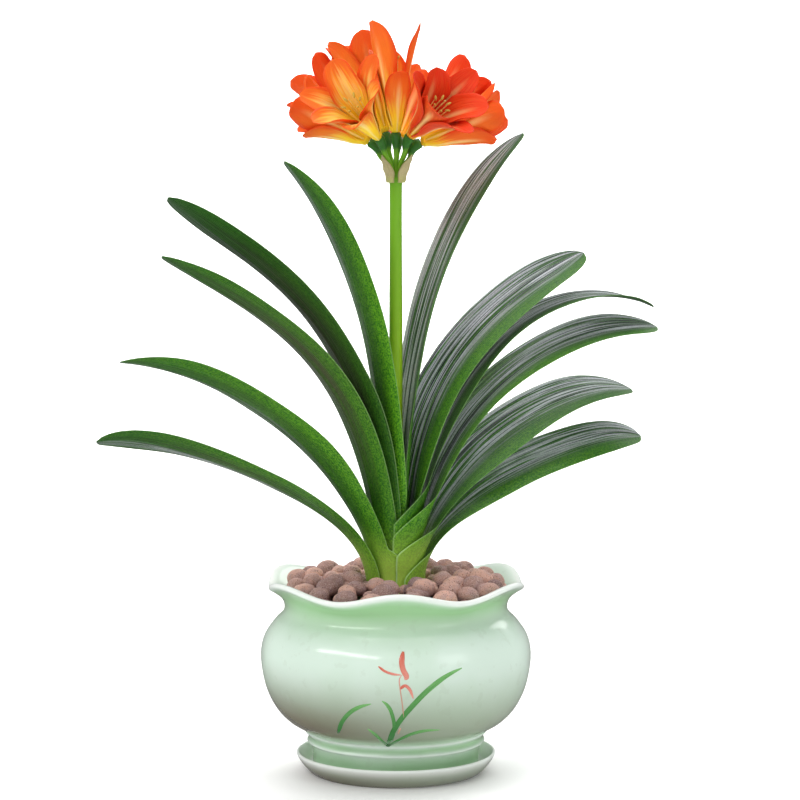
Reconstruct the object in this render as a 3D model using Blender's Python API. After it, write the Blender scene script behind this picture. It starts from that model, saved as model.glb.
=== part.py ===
# Clivia in a glazed pot that stands on a saucer, modelled in metres with +Z up.
# The origin is the middle of the saucer's flat underside and the front faces -Y.

import math
import random

import bmesh
import bpy
from mathutils import Matrix, Vector

MM = 0.001
COLLECTION_NAME = "clivia_in_pot"

# Saucer and pot sizes
SAUCER_SEGMENTS = 36
SAUCER_PROFILE = [
    (0.0, 5.9), (62.2, 5.9), (66.0, 8.4), (69.6, 13.4), (70.8, 14.6),
    (72.0, 13.6), (71.2, 11.2), (66.5, 4.6), (61.5, 0.0), (0.0, 0.0),
]
POT_SEGMENTS = 36
POT_OUTER = [
    (58.6, 6.3), (60.4, 8.0), (60.6, 17.0), (64.4, 22.8), (62.8, 25.6),
    (66.2, 29.4), (65.6, 32.0), (78.2, 38.0), (86.2, 46.5), (92.6, 58.0), (96.4, 71.5),
    (97.9, 87.0), (95.0, 99.5), (87.6, 110.5), (80.4, 118.6),
    (83.2, 128.5), (90.6, 134.6), (94.2, 137.4),
]
POT_INNER = [
    (92.6, 139.8), (88.6, 138.6), (80.2, 131.0), (75.4, 121.0),
    (83.0, 107.6), (90.0, 97.6), (92.4, 87.0),
    (86.2, 60.5), (70.0, 41.6), (9.0, 34.6), (9.0, 28.0),
    (48.0, 25.0), (53.6, 6.3),
]
RIM_WAVES = 6
RIM_WAVE_PHASE = math.radians(-88.0)
RIM_WAVE_OUT = 2.2
RIM_WAVE_UP = 3.8
RIM_WAVE_FROM = 120.0
RIM_WAVE_TO = 138.0

# Soil and pebbles
SOIL_SEGMENTS = 24
SOIL_OUTER = [
    (81.8, 106.8), (89.0, 97.0), (91.2, 87.0), (84.9, 61.6), (68.8, 42.9),
]
SOIL_FLOOR = 35.4
SOIL_TOP = 112.0
SOIL_EDGE = 78.0
ROOT_HOLE_RADIUS = 17.4
ROOT_HOLE_FLOOR = 86.0
ROOT_SEGMENTS = 12
ROOT_PROFILE = [
    (0.0, 117.6), (25.8, 117.6), (25.8, 115.4), (16.9, 112.6), (16.9, 104.0), (14.0, 93.0),
    (8.0, 86.5), (0.0, 86.5),
]
BED_SEGMENTS = 20
BED_HOLE_RADIUS = 26.8
BED_CUTTER_DEPTH = 80.0
BED_CUTTER_MIDDLE = 130.0
BED_PROFILE = [
    (27.6, 112.4), (74.4, 112.4), (74.4, 124.4), (77.6, 131.0), (76.0, 134.4),
    (60.0, 137.6), (42.0, 139.6), (27.6, 140.0),
]
PEBBLE_SEED = 7
PEBBLE_RINGS = [(35.0, 8, 141.0), (48.0, 12, 140.6), (60.8, 15, 139.2), (73.6, 20, 137.0)]
PEBBLE_RADII = (6.6, 8.6)
PEBBLE_BACK_RISE = 0.03
PEBBLE_RING_LIMIT = 82.0
PEBBLE_SQUASH = ((0.95, 1.15), (0.85, 1.0), (0.78, 0.92))
PEBBLE_TIP = 0.35
PEBBLE_DENTS = (0.93, 1.05)
PEBBLE_SIDES = (6, 4)

# Leaves: each one a sheath that opens into a blade, listed from the inside out
LEAF_BASE = 118.0
LEAF_RISE = 22.0
LEAF_FIRST_RADIUS = 6.6
LEAF_RADIUS_STEP = 1.85
LEAF_THICKNESS = 1.0
LEAF_STATIONS = 12
LEAF_ACROSS = 5
WRAP_ANGLES = (78.0, 70.0)
WRAP_HEIGHTS = (126.0, 148.0)
OPEN_HEIGHTS = (140.0, 190.0)
UNROLL_FROM = 26.0
UNROLL_RATE = 0.22
UNROLL_LIMIT = 34.0
LEAF_PATH_STEPS = 240
LEAF_STATION_SPREAD = 1.15
LEAF_SHOULDER = 0.80
LEAF_FULL_AT = 0.45
LEAF_POINT_FROM = 0.72
LEAF_POINT_SHAPE = (0.996, 2.2)
LEAF_AXIS_ROOM = 1.2
LEAF_LEAST_WIDTH = 0.9
# name: azimuth, four tilts from upright, blade length, half width, twist midway and at the tip
LEAVES = [
    ("leaf_right_1", 31.0, (0, 0, 22, 49), 349.0, 21.5, (-10.0, 0.0)),
    ("leaf_left_1", 215.0, (0, 0, 17, 47), 323.0, 21.5, (-8.0, -4.0)),
    ("leaf_right_2", 33.0, (0, 0, 75, 61), 304.0, 20.0, (24.0, 27.0)),
    ("leaf_left_2", 212.0, (0, 0, 73, 53), 347.0, 21.5, (0.0, 11.0)),
    ("leaf_right_3", 29.0, (0, 22, 57, 114), 335.0, 16.0, (10.0, 4.0)),
    ("leaf_left_3", 213.0, (0, 8, 77, 59), 316.0, 21.5, (1.0, 4.0)),
    ("leaf_right_4", 27.0, (0, 34, 69, 93), 302.0, 21.5, (11.0, 23.0)),
    ("leaf_left_4", 206.0, (2, 53, 55, 86), 271.0, 21.5, (11.0, 6.0)),
    ("leaf_right_5", 33.0, (0, 70, 56, 98), 253.0, 21.5, (31.0, 20.0)),
    ("leaf_left_5", 203.0, (6, 97, 44, 97), 241.0, 16.0, (15.0, 25.0)),
    ("leaf_right_6", 31.0, (1, 103, 51, 100), 230.0, 17.0, (48.0, 37.0)),
]

# Flower stalk, its bracts and the flowers
SCAPE_TOP = 432.0
# height and radius up the stalk, which flares a little at its head
SCAPE_PROFILE = [(118.0, 5.0), (200.0, 5.0), (320.0, 4.8), (422.0, 4.5), (429.0, 5.6), (432.0, 3.6)]
SCAPE_SIDES = 10
PEDICEL_SIDES = 5
PEDICEL_FOOT = (1.8, 5.0)
PEDICEL_BEND = 0.7
# distance below the flower, radius: thin stem, then the swollen ovary
PEDICEL_HEAD = [(9.5, 1.7), (6.5, 3.6), (2.6, 3.4), (1.6, 2.2)]
BRACT_THICKNESS = 0.8
BRACT_STATIONS = 7
BRACT_RADIUS = 6.6
BRACT_FOOT = 6.0
BRACT_CURL = 8.6
# name: direction round the stalk, height, outward lean, half width
BRACTS = [("bract_left", 223.0, 21.0, 13.0, 5.3), ("bract_right", 320.0, 22.0, 17.0, 5.3)]
# name: tube base, axis, flare of the lobes, length, scale across, turn
BLOOMS = [
    ("bloom_1", (-13, -15, 459), (-0.42, -0.73, 0.54), 42.0, 66.0, 1.05, 117.5),
    ("bloom_2", (-20, 0, 456), (-0.90, -0.04, 0.44), 24.6, 64.0, 1.00, 5.0),
    ("bloom_3", (-16, 13, 459), (-0.65, 0.40, 0.65), 23.7, 72.0, 1.00, 11.6),
    ("bloom_4", (-8, 8, 463), (-0.31, 0.10, 0.95), 17.1, 74.0, 1.00, 85.8),
    ("bloom_5", (0, -6, 463), (-0.03, -0.14, 0.99), 4.9, 80.0, 0.92, 16.5),
    ("bloom_6", (11, -14, 460), (0.50, -0.71, 0.50), 35.4, 66.0, 1.05, 26.0),
    ("bloom_7", (13, 6, 461), (0.69, 0.25, 0.68), 27.5, 66.0, 1.00, 109.3),
    ("bloom_8", (19, 0, 455), (0.95, -0.06, 0.31), 19.2, 66.0, 1.00, 68.3),
    ("bloom_9", (2, 18, 458), (0.11, 0.87, 0.47), 32.3, 68.0, 1.00, 118.2),
]
TEPAL_THICKNESS = 0.9
TEPAL_PLACES = (0.0, 0.24, 0.46, 0.70, 0.89, 1.0)
TEPAL_TIP = 0.34
TEPAL_WIDTHS = (8.6, 10.6)
TEPAL_FOOT = 3.2
TEPAL_STEPS = 60
TEPAL_START_TILT = 9.0
TEPAL_INNER_FLARE = 0.8
TEPAL_OPEN = (0.12, 0.95)
TEPAL_FULL_AT = 0.62
TEPAL_ROUND_FROM = 0.60
TEPAL_CUP = 15.0
TEPAL_ROOM = math.pi / 3.0 * 0.94
TUBE_RADIUS = 3.4
OUTER_LAYER_GAP = 1.7
# distance along the flower, radius of the solid base that joins its petals
BLOOM_CORE = [(-1.0, 2.6), (0.6, 5.6), (2.2, 6.0)]
BLOOM_CORE_SIDES = 6
STAMEN_COUNT = 7
STAMEN_SIDES = 3
STAMEN_BALL_RADIUS = 1.5
STAMEN_BALL_PLACE = 4.1
STAMEN_REACH = 0.66
STYLE_REACH = 1.1
STAMEN_SPREAD = (2.5, 0.10)
STAMEN_RADII = (0.6, 0.6, 1.3)
STYLE_RADII = (0.6, 0.6, 0.9)
ANTHER_LENGTH = 4.0

# Colours and surfaces: colour, roughness
SURFACES = {
    "pot_glaze": ((0.60, 0.78, 0.62), 0.15),
    "saucer_glaze": ((0.80, 0.86, 0.80), 0.15),
    "potting_mix": ((0.07, 0.045, 0.03), 0.9),
    "clay_pebbles": ((0.27, 0.17, 0.13), 0.85),
    "rootstock": ((0.50, 0.48, 0.30), 0.6),
    "leaf_green": ((0.03, 0.13, 0.03), 0.35),
    "stalk_green": ((0.25, 0.50, 0.08), 0.4),
    "bract_tan": ((0.66, 0.60, 0.34), 0.6),
    "petal_orange": ((0.95, 0.22, 0.03), 0.5),
    "stamen_yellow": ((0.80, 0.66, 0.20), 0.6),
}


def clear_scene():
    for old in list(bpy.data.objects):
        bpy.data.objects.remove(old, do_unlink=True)


def make_collection(name):
    made = bpy.data.collections.new(name)
    bpy.context.scene.collection.children.link(made)
    return made


def surface(name):
    """Return the named material, made on its first use."""
    found = bpy.data.materials.get(name)
    if found:
        return found
    colour, roughness = SURFACES[name]
    made = bpy.data.materials.new(name)
    made.use_nodes = True
    shader = made.node_tree.nodes["Principled BSDF"]
    shader.inputs["Base Color"].default_value = (*colour, 1.0)
    shader.inputs["Roughness"].default_value = roughness
    shader.inputs["Metallic"].default_value = 0.0
    made.diffuse_color = (*colour, 1.0)
    return made


def object_from_bmesh(name, bm, material_name, collection):
    """Turn a bmesh in millimetres into a named object in metres."""
    bmesh.ops.recalc_face_normals(bm, faces=bm.faces)
    bmesh.ops.scale(bm, vec=(MM, MM, MM), verts=bm.verts)
    mesh = bpy.data.meshes.new(name)
    bm.to_mesh(mesh)
    bm.free()
    made = bpy.data.objects.new(name, mesh)
    mesh.materials.append(surface(material_name))
    collection.objects.link(made)
    mesh.shade_smooth()
    mesh.set_sharp_from_angle(angle=math.radians(40.0))
    return made


def turned(profile, segments):
    """Spin a closed list of radius and height points round the Z axis."""
    bm = bmesh.new()
    verts = [bm.verts.new((radius, 0.0, height)) for radius, height in profile]
    edges = [bm.edges.new((verts[i], verts[i + 1])) for i in range(len(verts) - 1)]
    if profile[0][0] > 0.0:
        edges.append(bm.edges.new((verts[-1], verts[0])))
    bmesh.ops.spin(
        bm, geom=verts + edges, cent=(0, 0, 0), axis=(0, 0, 1),
        angle=math.tau, steps=segments, use_merge=True,
    )
    bmesh.ops.remove_doubles(bm, verts=bm.verts, dist=0.001)
    bmesh.ops.triangulate(bm, faces=bm.faces)
    return bm


def joined(name, first, others, material_name):
    """Fuse the other objects into the first with one Boolean and remove them."""
    group = make_collection(name + "_repeats")
    for other in others:
        for owner in list(other.users_collection):
            owner.objects.unlink(other)
        group.objects.link(other)
    union = first.modifiers.new("join", "BOOLEAN")
    union.operation = "UNION"
    union.operand_type = "COLLECTION"
    union.collection = group
    union.solver = "MANIFOLD"
    bpy.context.view_layer.update()
    graph = bpy.context.evaluated_depsgraph_get()
    mesh = bpy.data.meshes.new_from_object(first.evaluated_get(graph))
    first.modifiers.clear()
    first.data = mesh
    first.name = name
    mesh.name = name
    mesh.materials.clear()
    mesh.materials.append(surface(material_name))
    for other in list(group.objects):
        bpy.data.objects.remove(other, do_unlink=True)
    bpy.data.collections.remove(group)
    return first


def smooth_step(value, low, high):
    share = min(1.0, max(0.0, (value - low) / (high - low)))
    return share * share * (3.0 - 2.0 * share)


def bend_value(values, share):
    """Cubic blend of four values, reached exactly at both ends."""
    rest = 1.0 - share
    a, b, c, d = values
    return a * rest**3 + 3 * b * rest * rest * share + 3 * c * rest * share**2 + d * share**3


def sheet(rows, normals, thickness):
    """Close a grid of middle points into a thin plate split alike on both faces."""
    bm = bmesh.new()
    half = thickness / 2.0
    faces = []
    for side in (1.0, -1.0):
        grid = []
        for row, row_normals in zip(rows, normals):
            grid.append([bm.verts.new(p + n * half * side) for p, n in zip(row, row_normals)])
        faces.append(grid)
    top, bottom = faces
    last_row = len(rows) - 1
    last_column = len(rows[0]) - 1
    for i in range(last_row):
        for j in range(last_column):
            for grid in faces:
                bm.faces.new((grid[i][j], grid[i + 1][j], grid[i + 1][j + 1]))
                bm.faces.new((grid[i][j], grid[i + 1][j + 1], grid[i][j + 1]))
        for j in (0, last_column):
            bm.faces.new((top[i][j], top[i + 1][j], bottom[i + 1][j], bottom[i][j]))
    for i in (0, last_row):
        for j in range(last_column):
            bm.faces.new((top[i][j], top[i][j + 1], bottom[i][j + 1], bottom[i][j]))
    bmesh.ops.triangulate(bm, faces=bm.faces)
    return bm


def tube(points, radii, sides):
    """Loft closed rings along a path and cap both ends."""
    bm = bmesh.new()
    rings = []
    reference = Vector((0.0, 1.0, 0.0))
    for index, point in enumerate(points):
        before = points[max(index - 1, 0)]
        after = points[min(index + 1, len(points) - 1)]
        direction = (after - before).normalized()
        side = direction.cross(reference).normalized()
        up = side.cross(direction).normalized()
        ring = []
        for k in range(sides):
            angle = math.tau * k / sides
            offset = side * math.cos(angle) + up * math.sin(angle)
            ring.append(bm.verts.new(point + offset * radii[index]))
        rings.append(ring)
    for low, high in zip(rings, rings[1:]):
        for k in range(sides):
            m = (k + 1) % sides
            bm.faces.new((low[k], low[m], high[m], high[k]))
    bm.faces.new(rings[0])
    bm.faces.new(rings[-1])
    bmesh.ops.triangulate(bm, faces=bm.faces)
    return bm


def wave_rim(bm):
    """Push the rim out and up in even lobes that fade out at the neck."""
    for vert in bm.verts:
        radius = math.hypot(vert.co.x, vert.co.y)
        if vert.co.z <= RIM_WAVE_FROM or radius < 1.0:
            continue
        share = smooth_step(vert.co.z, RIM_WAVE_FROM, RIM_WAVE_TO)
        angle = math.atan2(vert.co.y, vert.co.x) - RIM_WAVE_PHASE
        wave = math.cos(RIM_WAVES * angle) * share
        grown = 1.0 + RIM_WAVE_OUT * wave / radius
        vert.co.x *= grown
        vert.co.y *= grown
        vert.co.z += RIM_WAVE_UP * wave


def make_saucer(collection):
    bm = turned(SAUCER_PROFILE, SAUCER_SEGMENTS)
    return object_from_bmesh("saucer", bm, "saucer_glaze", collection)


def make_pot(collection):
    bm = turned(POT_OUTER + POT_INNER, POT_SEGMENTS)
    wave_rim(bm)
    return object_from_bmesh("pot", bm, "pot_glaze", collection)


def make_potting_mix(collection):
    profile = [(0.0, ROOT_HOLE_FLOOR), (ROOT_HOLE_RADIUS, ROOT_HOLE_FLOOR)]
    profile += [(ROOT_HOLE_RADIUS, SOIL_TOP), (SOIL_EDGE, SOIL_TOP)]
    profile += SOIL_OUTER + [(0.0, SOIL_FLOOR)]
    bm = turned(profile, SOIL_SEGMENTS)
    return object_from_bmesh("potting_mix", bm, "potting_mix", collection)


def make_rootstock(collection):
    bm = turned(ROOT_PROFILE, ROOT_SEGMENTS)
    return object_from_bmesh("rootstock", bm, "rootstock", collection)


def draw_stones(chance):
    """Draw the place, size, squash, turn and tip of every stone, ring by ring."""
    drawn = []
    for ring_radius, count, height in PEBBLE_RINGS:
        start = chance.uniform(0.0, math.tau)
        for k in range(count):
            angle = start + math.tau * (k + chance.uniform(-0.16, 0.16)) / count
            size = chance.uniform(*PEBBLE_RADII)
            out = ring_radius + chance.uniform(-1.2, 1.2)
            out = min(out, PEBBLE_RING_LIMIT - size * PEBBLE_SQUASH[0][1])
            across, back = out * math.cos(angle), out * math.sin(angle)
            place = (across, back, height + PEBBLE_BACK_RISE * back + chance.uniform(-1, 1))
            squash = [chance.uniform(*limits) for limits in PEBBLE_SQUASH]
            turn = chance.uniform(0, math.tau)
            tip = chance.uniform(-PEBBLE_TIP, PEBBLE_TIP)
            drawn.append((place, size, squash, turn, tip))
    return drawn


def make_pebble(number, stone, collection):
    """One rounded stone: a small ball dented by chance, squashed and turned."""
    place, size, squash, turn, tip = stone
    chance = random.Random(number)
    bm = bmesh.new()
    bmesh.ops.create_uvsphere(
        bm, u_segments=PEBBLE_SIDES[0], v_segments=PEBBLE_SIDES[1], radius=size
    )
    for vert in bm.verts:
        vert.co *= chance.uniform(*PEBBLE_DENTS)
    bmesh.ops.scale(bm, vec=squash, verts=bm.verts)
    turning = Matrix.Rotation(turn, 3, "Z") @ Matrix.Rotation(tip, 3, "X")
    bmesh.ops.rotate(bm, matrix=turning, verts=bm.verts)
    bmesh.ops.translate(bm, vec=place, verts=bm.verts)
    return object_from_bmesh("pebble_%03d" % number, bm, "clay_pebbles", collection)


def make_pebbles(collection, cutters):
    """Rings of stones sunk into a domed bed, with a plain hole for the plant."""
    bm = turned(BED_PROFILE, BED_SEGMENTS)
    bed = object_from_bmesh("clay_pebbles", bm, "clay_pebbles", collection)
    stones = []
    for number, stone in enumerate(draw_stones(random.Random(PEBBLE_SEED))):
        stones.append(make_pebble(number, stone, collection))
    bed = joined("clay_pebbles", bed, stones, "clay_pebbles")
    bm = bmesh.new()
    bmesh.ops.create_cone(
        bm, cap_ends=True, segments=BED_SEGMENTS, radius1=BED_HOLE_RADIUS,
        radius2=BED_HOLE_RADIUS, depth=BED_CUTTER_DEPTH,
        matrix=Matrix.Translation((0, 0, BED_CUTTER_MIDDLE)),
    )
    cutter = object_from_bmesh("plant_hole", bm, "clay_pebbles", cutters)
    cutter.hide_render = True
    cutter.display_type = "WIRE"
    cut = bed.modifiers.new("hole", "BOOLEAN")
    cut.operation = "DIFFERENCE"
    cut.object = cutter
    cut.solver = "MANIFOLD"
    return bed


def leaf_path(radius, tilts, length):
    """Distance along, blade share, place out, place up and tilt, in many small steps."""
    total = LEAF_RISE + length
    out, up = radius, LEAF_BASE
    path = []
    for step in range(LEAF_PATH_STEPS + 1):
        along = total * step / LEAF_PATH_STEPS
        share = max(0.0, along - LEAF_RISE) / length
        tilt = math.radians(bend_value(tilts, share))
        path.append((along, share, out, up, tilt))
        out += math.sin(tilt) * total / LEAF_PATH_STEPS
        up += math.cos(tilt) * total / LEAF_PATH_STEPS
    return path


def leaf_width(along, share, out, curl, half_width):
    """Half width of the leaf: wrapped round its neighbours below, an open blade above."""
    height = LEAF_BASE + along
    wrap_share = smooth_step(height, *WRAP_HEIGHTS)
    wrap = WRAP_ANGLES[0] + (WRAP_ANGLES[1] - WRAP_ANGLES[0]) * wrap_share
    wrapped = math.radians(wrap) * curl
    body = LEAF_SHOULDER + (1.0 - LEAF_SHOULDER) * smooth_step(share, 0.0, LEAF_FULL_AT)
    point = max(0.0, (share - LEAF_POINT_FROM) / (1.0 - LEAF_POINT_FROM))
    depth, power = LEAF_POINT_SHAPE
    opened_width = half_width * body * math.sqrt(max(0.0, 1.0 - depth * point**power))
    width = wrapped + (opened_width - wrapped) * smooth_step(height, *OPEN_HEIGHTS)
    if height > WRAP_HEIGHTS[1]:
        room = max(1.0, out - LEAF_AXIS_ROOM)
        width = min(width, curl * math.acos(max(-1.0, 1.0 - room / curl)))
    return max(width, LEAF_LEAST_WIDTH)


def leaf_grid(order, azimuth, tilts, length, half_width, twist):
    """Middle points and normals of one leaf, from its sheath to its tip."""
    radius = LEAF_FIRST_RADIUS + LEAF_RADIUS_STEP * order
    path = leaf_path(radius, tilts, length)
    rim = Vector((math.cos(math.radians(azimuth)), math.sin(math.radians(azimuth)), 0.0))
    rows, normals = [], []
    for index in range(LEAF_STATIONS):
        spread = index / (LEAF_STATIONS - 1)
        place = round(spread**LEAF_STATION_SPREAD * LEAF_PATH_STEPS)
        along, share, out, up, tilt = path[place]
        curl = radius + min(UNROLL_LIMIT, UNROLL_RATE * max(0.0, along - UNROLL_FROM))
        width = leaf_width(along, share, out, curl, half_width)
        turn = twist[0] * smooth_step(share, 0.0, LEAF_FULL_AT)
        turn += (twist[1] - twist[0]) * smooth_step(share, LEAF_FULL_AT, 1.0)
        along_dir = rim * math.sin(tilt) + Vector((0, 0, math.cos(tilt)))
        turning = Matrix.Rotation(math.radians(turn), 3, along_dir)
        side = turning @ Vector((-rim.y, rim.x, 0.0))
        outward = turning @ (rim * math.cos(tilt) - Vector((0, 0, math.sin(tilt))))
        centre = rim * out + Vector((0, 0, up))
        row, row_normals = [], []
        for k in range(LEAF_ACROSS):
            angle = (2.0 * k / (LEAF_ACROSS - 1) - 1.0) * width / curl
            offset = side * curl * math.sin(angle) - outward * curl * (1.0 - math.cos(angle))
            row.append(centre + offset)
            row_normals.append(outward * math.cos(angle) + side * math.sin(angle))
        rows.append(row)
        normals.append(row_normals)
    return rows, normals


def make_leaves(collection):
    for order, (name, azimuth, tilts, length, half_width, twist) in enumerate(LEAVES):
        rows, normals = leaf_grid(order, azimuth, tilts, length, half_width, twist)
        bm = sheet(rows, normals, LEAF_THICKNESS)
        object_from_bmesh(name, bm, "leaf_green", collection)


def make_scape(collection):
    """Stalk with one pedicel and ovary fused in for each flower."""
    points = [Vector((0, 0, height)) for height, radius in SCAPE_PROFILE]
    bm = tube(points, [radius for height, radius in SCAPE_PROFILE], SCAPE_SIDES)
    stalk = object_from_bmesh("scape", bm, "stalk_green", collection)
    stems = []
    for number, (name, base, axis, flare, length, size, turn) in enumerate(BLOOMS):
        top, direction = Vector(base), Vector(axis).normalized()
        spread = Vector((base[0], base[1], 0.0)).normalized()
        foot = Vector((0, 0, SCAPE_TOP - PEDICEL_FOOT[1])) + spread * PEDICEL_FOOT[0]
        head = [top - direction * below for below, radius in PEDICEL_HEAD]
        middle = (foot + head[0]) / 2.0
        middle.x *= PEDICEL_BEND
        middle.y *= PEDICEL_BEND
        radii = [1.5, 1.4] + [radius for below, radius in PEDICEL_HEAD]
        bm = tube([foot, middle] + head, radii, PEDICEL_SIDES)
        stems.append(object_from_bmesh("pedicel_%d" % number, bm, "stalk_green", collection))
    return joined("scape", stalk, stems, "stalk_green")


def make_bracts(collection):
    """Papery pointed sheets that stand round the foot of the pedicels."""
    for name, azimuth, height, lean, half_width in BRACTS:
        rim = Vector((math.cos(math.radians(azimuth)), math.sin(math.radians(azimuth)), 0.0))
        side = Vector((-rim.y, rim.x, 0.0))
        rows, normals = [], []
        for index in range(BRACT_STATIONS):
            share = index / (BRACT_STATIONS - 1)
            tilt = math.radians(lean) * share
            out = BRACT_RADIUS + height * share * math.sin(tilt)
            up = SCAPE_TOP - BRACT_FOOT + height * share * math.cos(tilt)
            width = max(0.6, half_width * (1.0 - share**1.8))
            row, row_normals = [], []
            for k in range(3):
                angle = (k - 1) * width / BRACT_CURL
                offset = side * math.sin(angle) - rim * (1.0 - math.cos(angle))
                row.append(rim * out + Vector((0, 0, up)) + offset * BRACT_CURL)
                row_normals.append(rim * math.cos(angle) + side * math.sin(angle))
            rows.append(row)
            normals.append(row_normals)
        bm = sheet(rows, normals, BRACT_THICKNESS)
        object_from_bmesh(name, bm, "bract_tan", collection)


def flower_frame(base, axis):
    direction = Vector(axis).normalized()
    side = direction.cross(Vector((0.0, 0.0, 1.0)))
    if side.length < 0.2:
        side = direction.cross(Vector((0.0, 1.0, 0.0)))
    side.normalize()
    up = side.cross(direction).normalized()
    return Vector(base), direction, side, up


def tepal_path(outer, flare, length):
    """Share, place out, place forward and tilt of a petal, in small steps."""
    out = TUBE_RADIUS + (OUTER_LAYER_GAP if outer else 0.0)
    opening = flare * (1.0 if outer else TEPAL_INNER_FLARE)
    forward = 0.0
    path = []
    for step in range(TEPAL_STEPS + 1):
        share = step / TEPAL_STEPS
        tilt = math.radians(TEPAL_START_TILT + opening * smooth_step(share, *TEPAL_OPEN))
        path.append((share, out, forward, tilt))
        out += math.sin(tilt) * length / TEPAL_STEPS
        forward += math.cos(tilt) * length / TEPAL_STEPS
    return path


def tepal_width(share, out, widest):
    """Half width of a petal: as wide as the tube allows, swelling, then rounded off."""
    swell = smooth_step(share, 0.0, TEPAL_FULL_AT)
    width = min(out * TEPAL_ROOM, TEPAL_FOOT + (widest - TEPAL_FOOT) * swell)
    point = max(0.0, (share - TEPAL_ROUND_FROM) / (1.0 - TEPAL_ROUND_FROM))
    return width * max(TEPAL_TIP, math.sqrt(max(0.0, 1.0 - point**2.8)))


def tepal_grid(frame, angle, outer, flare, length, size):
    """Middle points and normals of one petal that rises in the tube and opens."""
    origin, direction, side, up = frame
    spoke = side * math.cos(angle) + up * math.sin(angle)
    cross = direction.cross(spoke)
    path = tepal_path(outer, flare, length)
    widest = TEPAL_WIDTHS[0 if outer else 1] * size
    rows, normals = [], []
    for place in TEPAL_PLACES:
        share, out, forward, tilt = path[round(place * TEPAL_STEPS)]
        width = tepal_width(share, out, widest)
        curl = max(out, TEPAL_FOOT) * 1.05 if share < 0.5 else TEPAL_CUP
        curl = max(curl, width / 1.2)
        outward = spoke * math.cos(tilt) - direction * math.sin(tilt)
        row, row_normals = [], []
        for k in (-1.0, 0.0, 1.0):
            bend = k * width / curl
            offset = cross * curl * math.sin(bend) - outward * curl * (1.0 - math.cos(bend))
            row.append(origin + spoke * out + direction * forward + offset)
            row_normals.append(outward * math.cos(bend) + cross * math.sin(bend))
        rows.append(row)
        normals.append(row_normals)
    return rows, normals


def make_bloom(bloom, collection):
    """Six petals in two layers joined round a small solid tube base."""
    name, base, axis, flare, length, size, turn = bloom
    frame = flower_frame(base, axis)
    origin, direction = frame[0], frame[1]
    path = [origin + direction * along for along, radius in BLOOM_CORE]
    bm = tube(path, [radius for along, radius in BLOOM_CORE], BLOOM_CORE_SIDES)
    core = object_from_bmesh(name, bm, "petal_orange", collection)
    petals = []
    for k in range(6):
        angle = math.radians(turn + 60.0 * k)
        rows, normals = tepal_grid(frame, angle, k % 2 == 0, flare, length, size)
        bm = sheet(rows, normals, TEPAL_THICKNESS)
        petals.append(object_from_bmesh("%s_tepal_%d" % (name, k), bm, "petal_orange", collection))
    return joined(name, core, petals, "petal_orange")


def make_stamens(bloom, collection):
    """Filaments and style of one flower, rooted in a small ball in the tube."""
    name, base, axis, flare, length, size, turn = bloom
    origin, direction, side, up = flower_frame(base, axis)
    bm = bmesh.new()
    bmesh.ops.create_icosphere(bm, subdivisions=1, radius=STAMEN_BALL_RADIUS)
    bmesh.ops.translate(bm, vec=origin + direction * STAMEN_BALL_PLACE, verts=bm.verts)
    ball = object_from_bmesh(name + "_stamens", bm, "stamen_yellow", collection)
    threads = []
    for k in range(STAMEN_COUNT):
        style = k == STAMEN_COUNT - 1
        angle = math.radians(turn + 30.0 + 60.0 * k)
        spread = 0.0 if style else STAMEN_SPREAD[0] + flare * STAMEN_SPREAD[1]
        spoke = (side * math.cos(angle) + up * math.sin(angle)) * spread
        far = length * STAMEN_REACH * (STYLE_REACH if style else 1.0)
        path = [
            origin + direction * (STAMEN_BALL_PLACE + 0.3),
            origin + direction * (far - ANTHER_LENGTH) + spoke * 0.95,
            origin + direction * far + spoke,
        ]
        bm = tube(path, STYLE_RADII if style else STAMEN_RADII, STAMEN_SIDES)
        threads.append(object_from_bmesh("%s_thread_%d" % (name, k), bm, "stamen_yellow", collection))
    return joined(name + "_stamens", ball, threads, "stamen_yellow")


def main():
    clear_scene()
    collection = make_collection(COLLECTION_NAME)
    cutters = make_collection("cutters")
    make_saucer(collection)
    make_pot(collection)
    make_potting_mix(collection)
    make_rootstock(collection)
    make_pebbles(collection, cutters)
    make_leaves(collection)
    make_scape(collection)
    make_bracts(collection)
    for bloom in BLOOMS:
        make_bloom(bloom, collection)
        make_stamens(bloom, collection)


main()
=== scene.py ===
# A clivia in its glazed pot: fine leaves, flowers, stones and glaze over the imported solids.
# Shape tables are in millimetres and degrees, and MM turns a length into metres.

import math
import random

import bmesh
import bpy
import numpy as np
from bpy.props import FloatProperty, FloatVectorProperty, IntProperty, PointerProperty
from mathutils import Matrix, Vector, noise
from mathutils.bvhtree import BVHTree


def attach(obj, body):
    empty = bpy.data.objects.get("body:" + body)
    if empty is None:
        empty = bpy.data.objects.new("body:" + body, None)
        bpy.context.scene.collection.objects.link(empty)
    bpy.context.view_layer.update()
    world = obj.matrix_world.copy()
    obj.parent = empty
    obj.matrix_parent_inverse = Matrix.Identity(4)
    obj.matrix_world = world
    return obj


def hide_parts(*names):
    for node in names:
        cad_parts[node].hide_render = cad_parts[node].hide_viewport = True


bl_info = {
    "name": "Clivia in a Glazed Pot",
    "version": (1, 0, 0),
    "blender": (4, 5, 0),
    "location": "View3D > Sidebar > Clivia",
    "description": "Builds the leaves, flowers, stones and glazed ware of a potted clivia",
    "category": "Add Mesh",
}

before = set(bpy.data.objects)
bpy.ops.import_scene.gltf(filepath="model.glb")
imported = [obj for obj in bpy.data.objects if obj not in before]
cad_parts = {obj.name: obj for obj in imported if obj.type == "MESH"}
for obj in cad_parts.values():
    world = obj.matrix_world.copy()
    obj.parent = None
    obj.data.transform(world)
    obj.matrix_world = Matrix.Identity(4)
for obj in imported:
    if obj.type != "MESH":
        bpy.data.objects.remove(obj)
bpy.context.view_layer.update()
MM = 0.001

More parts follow.
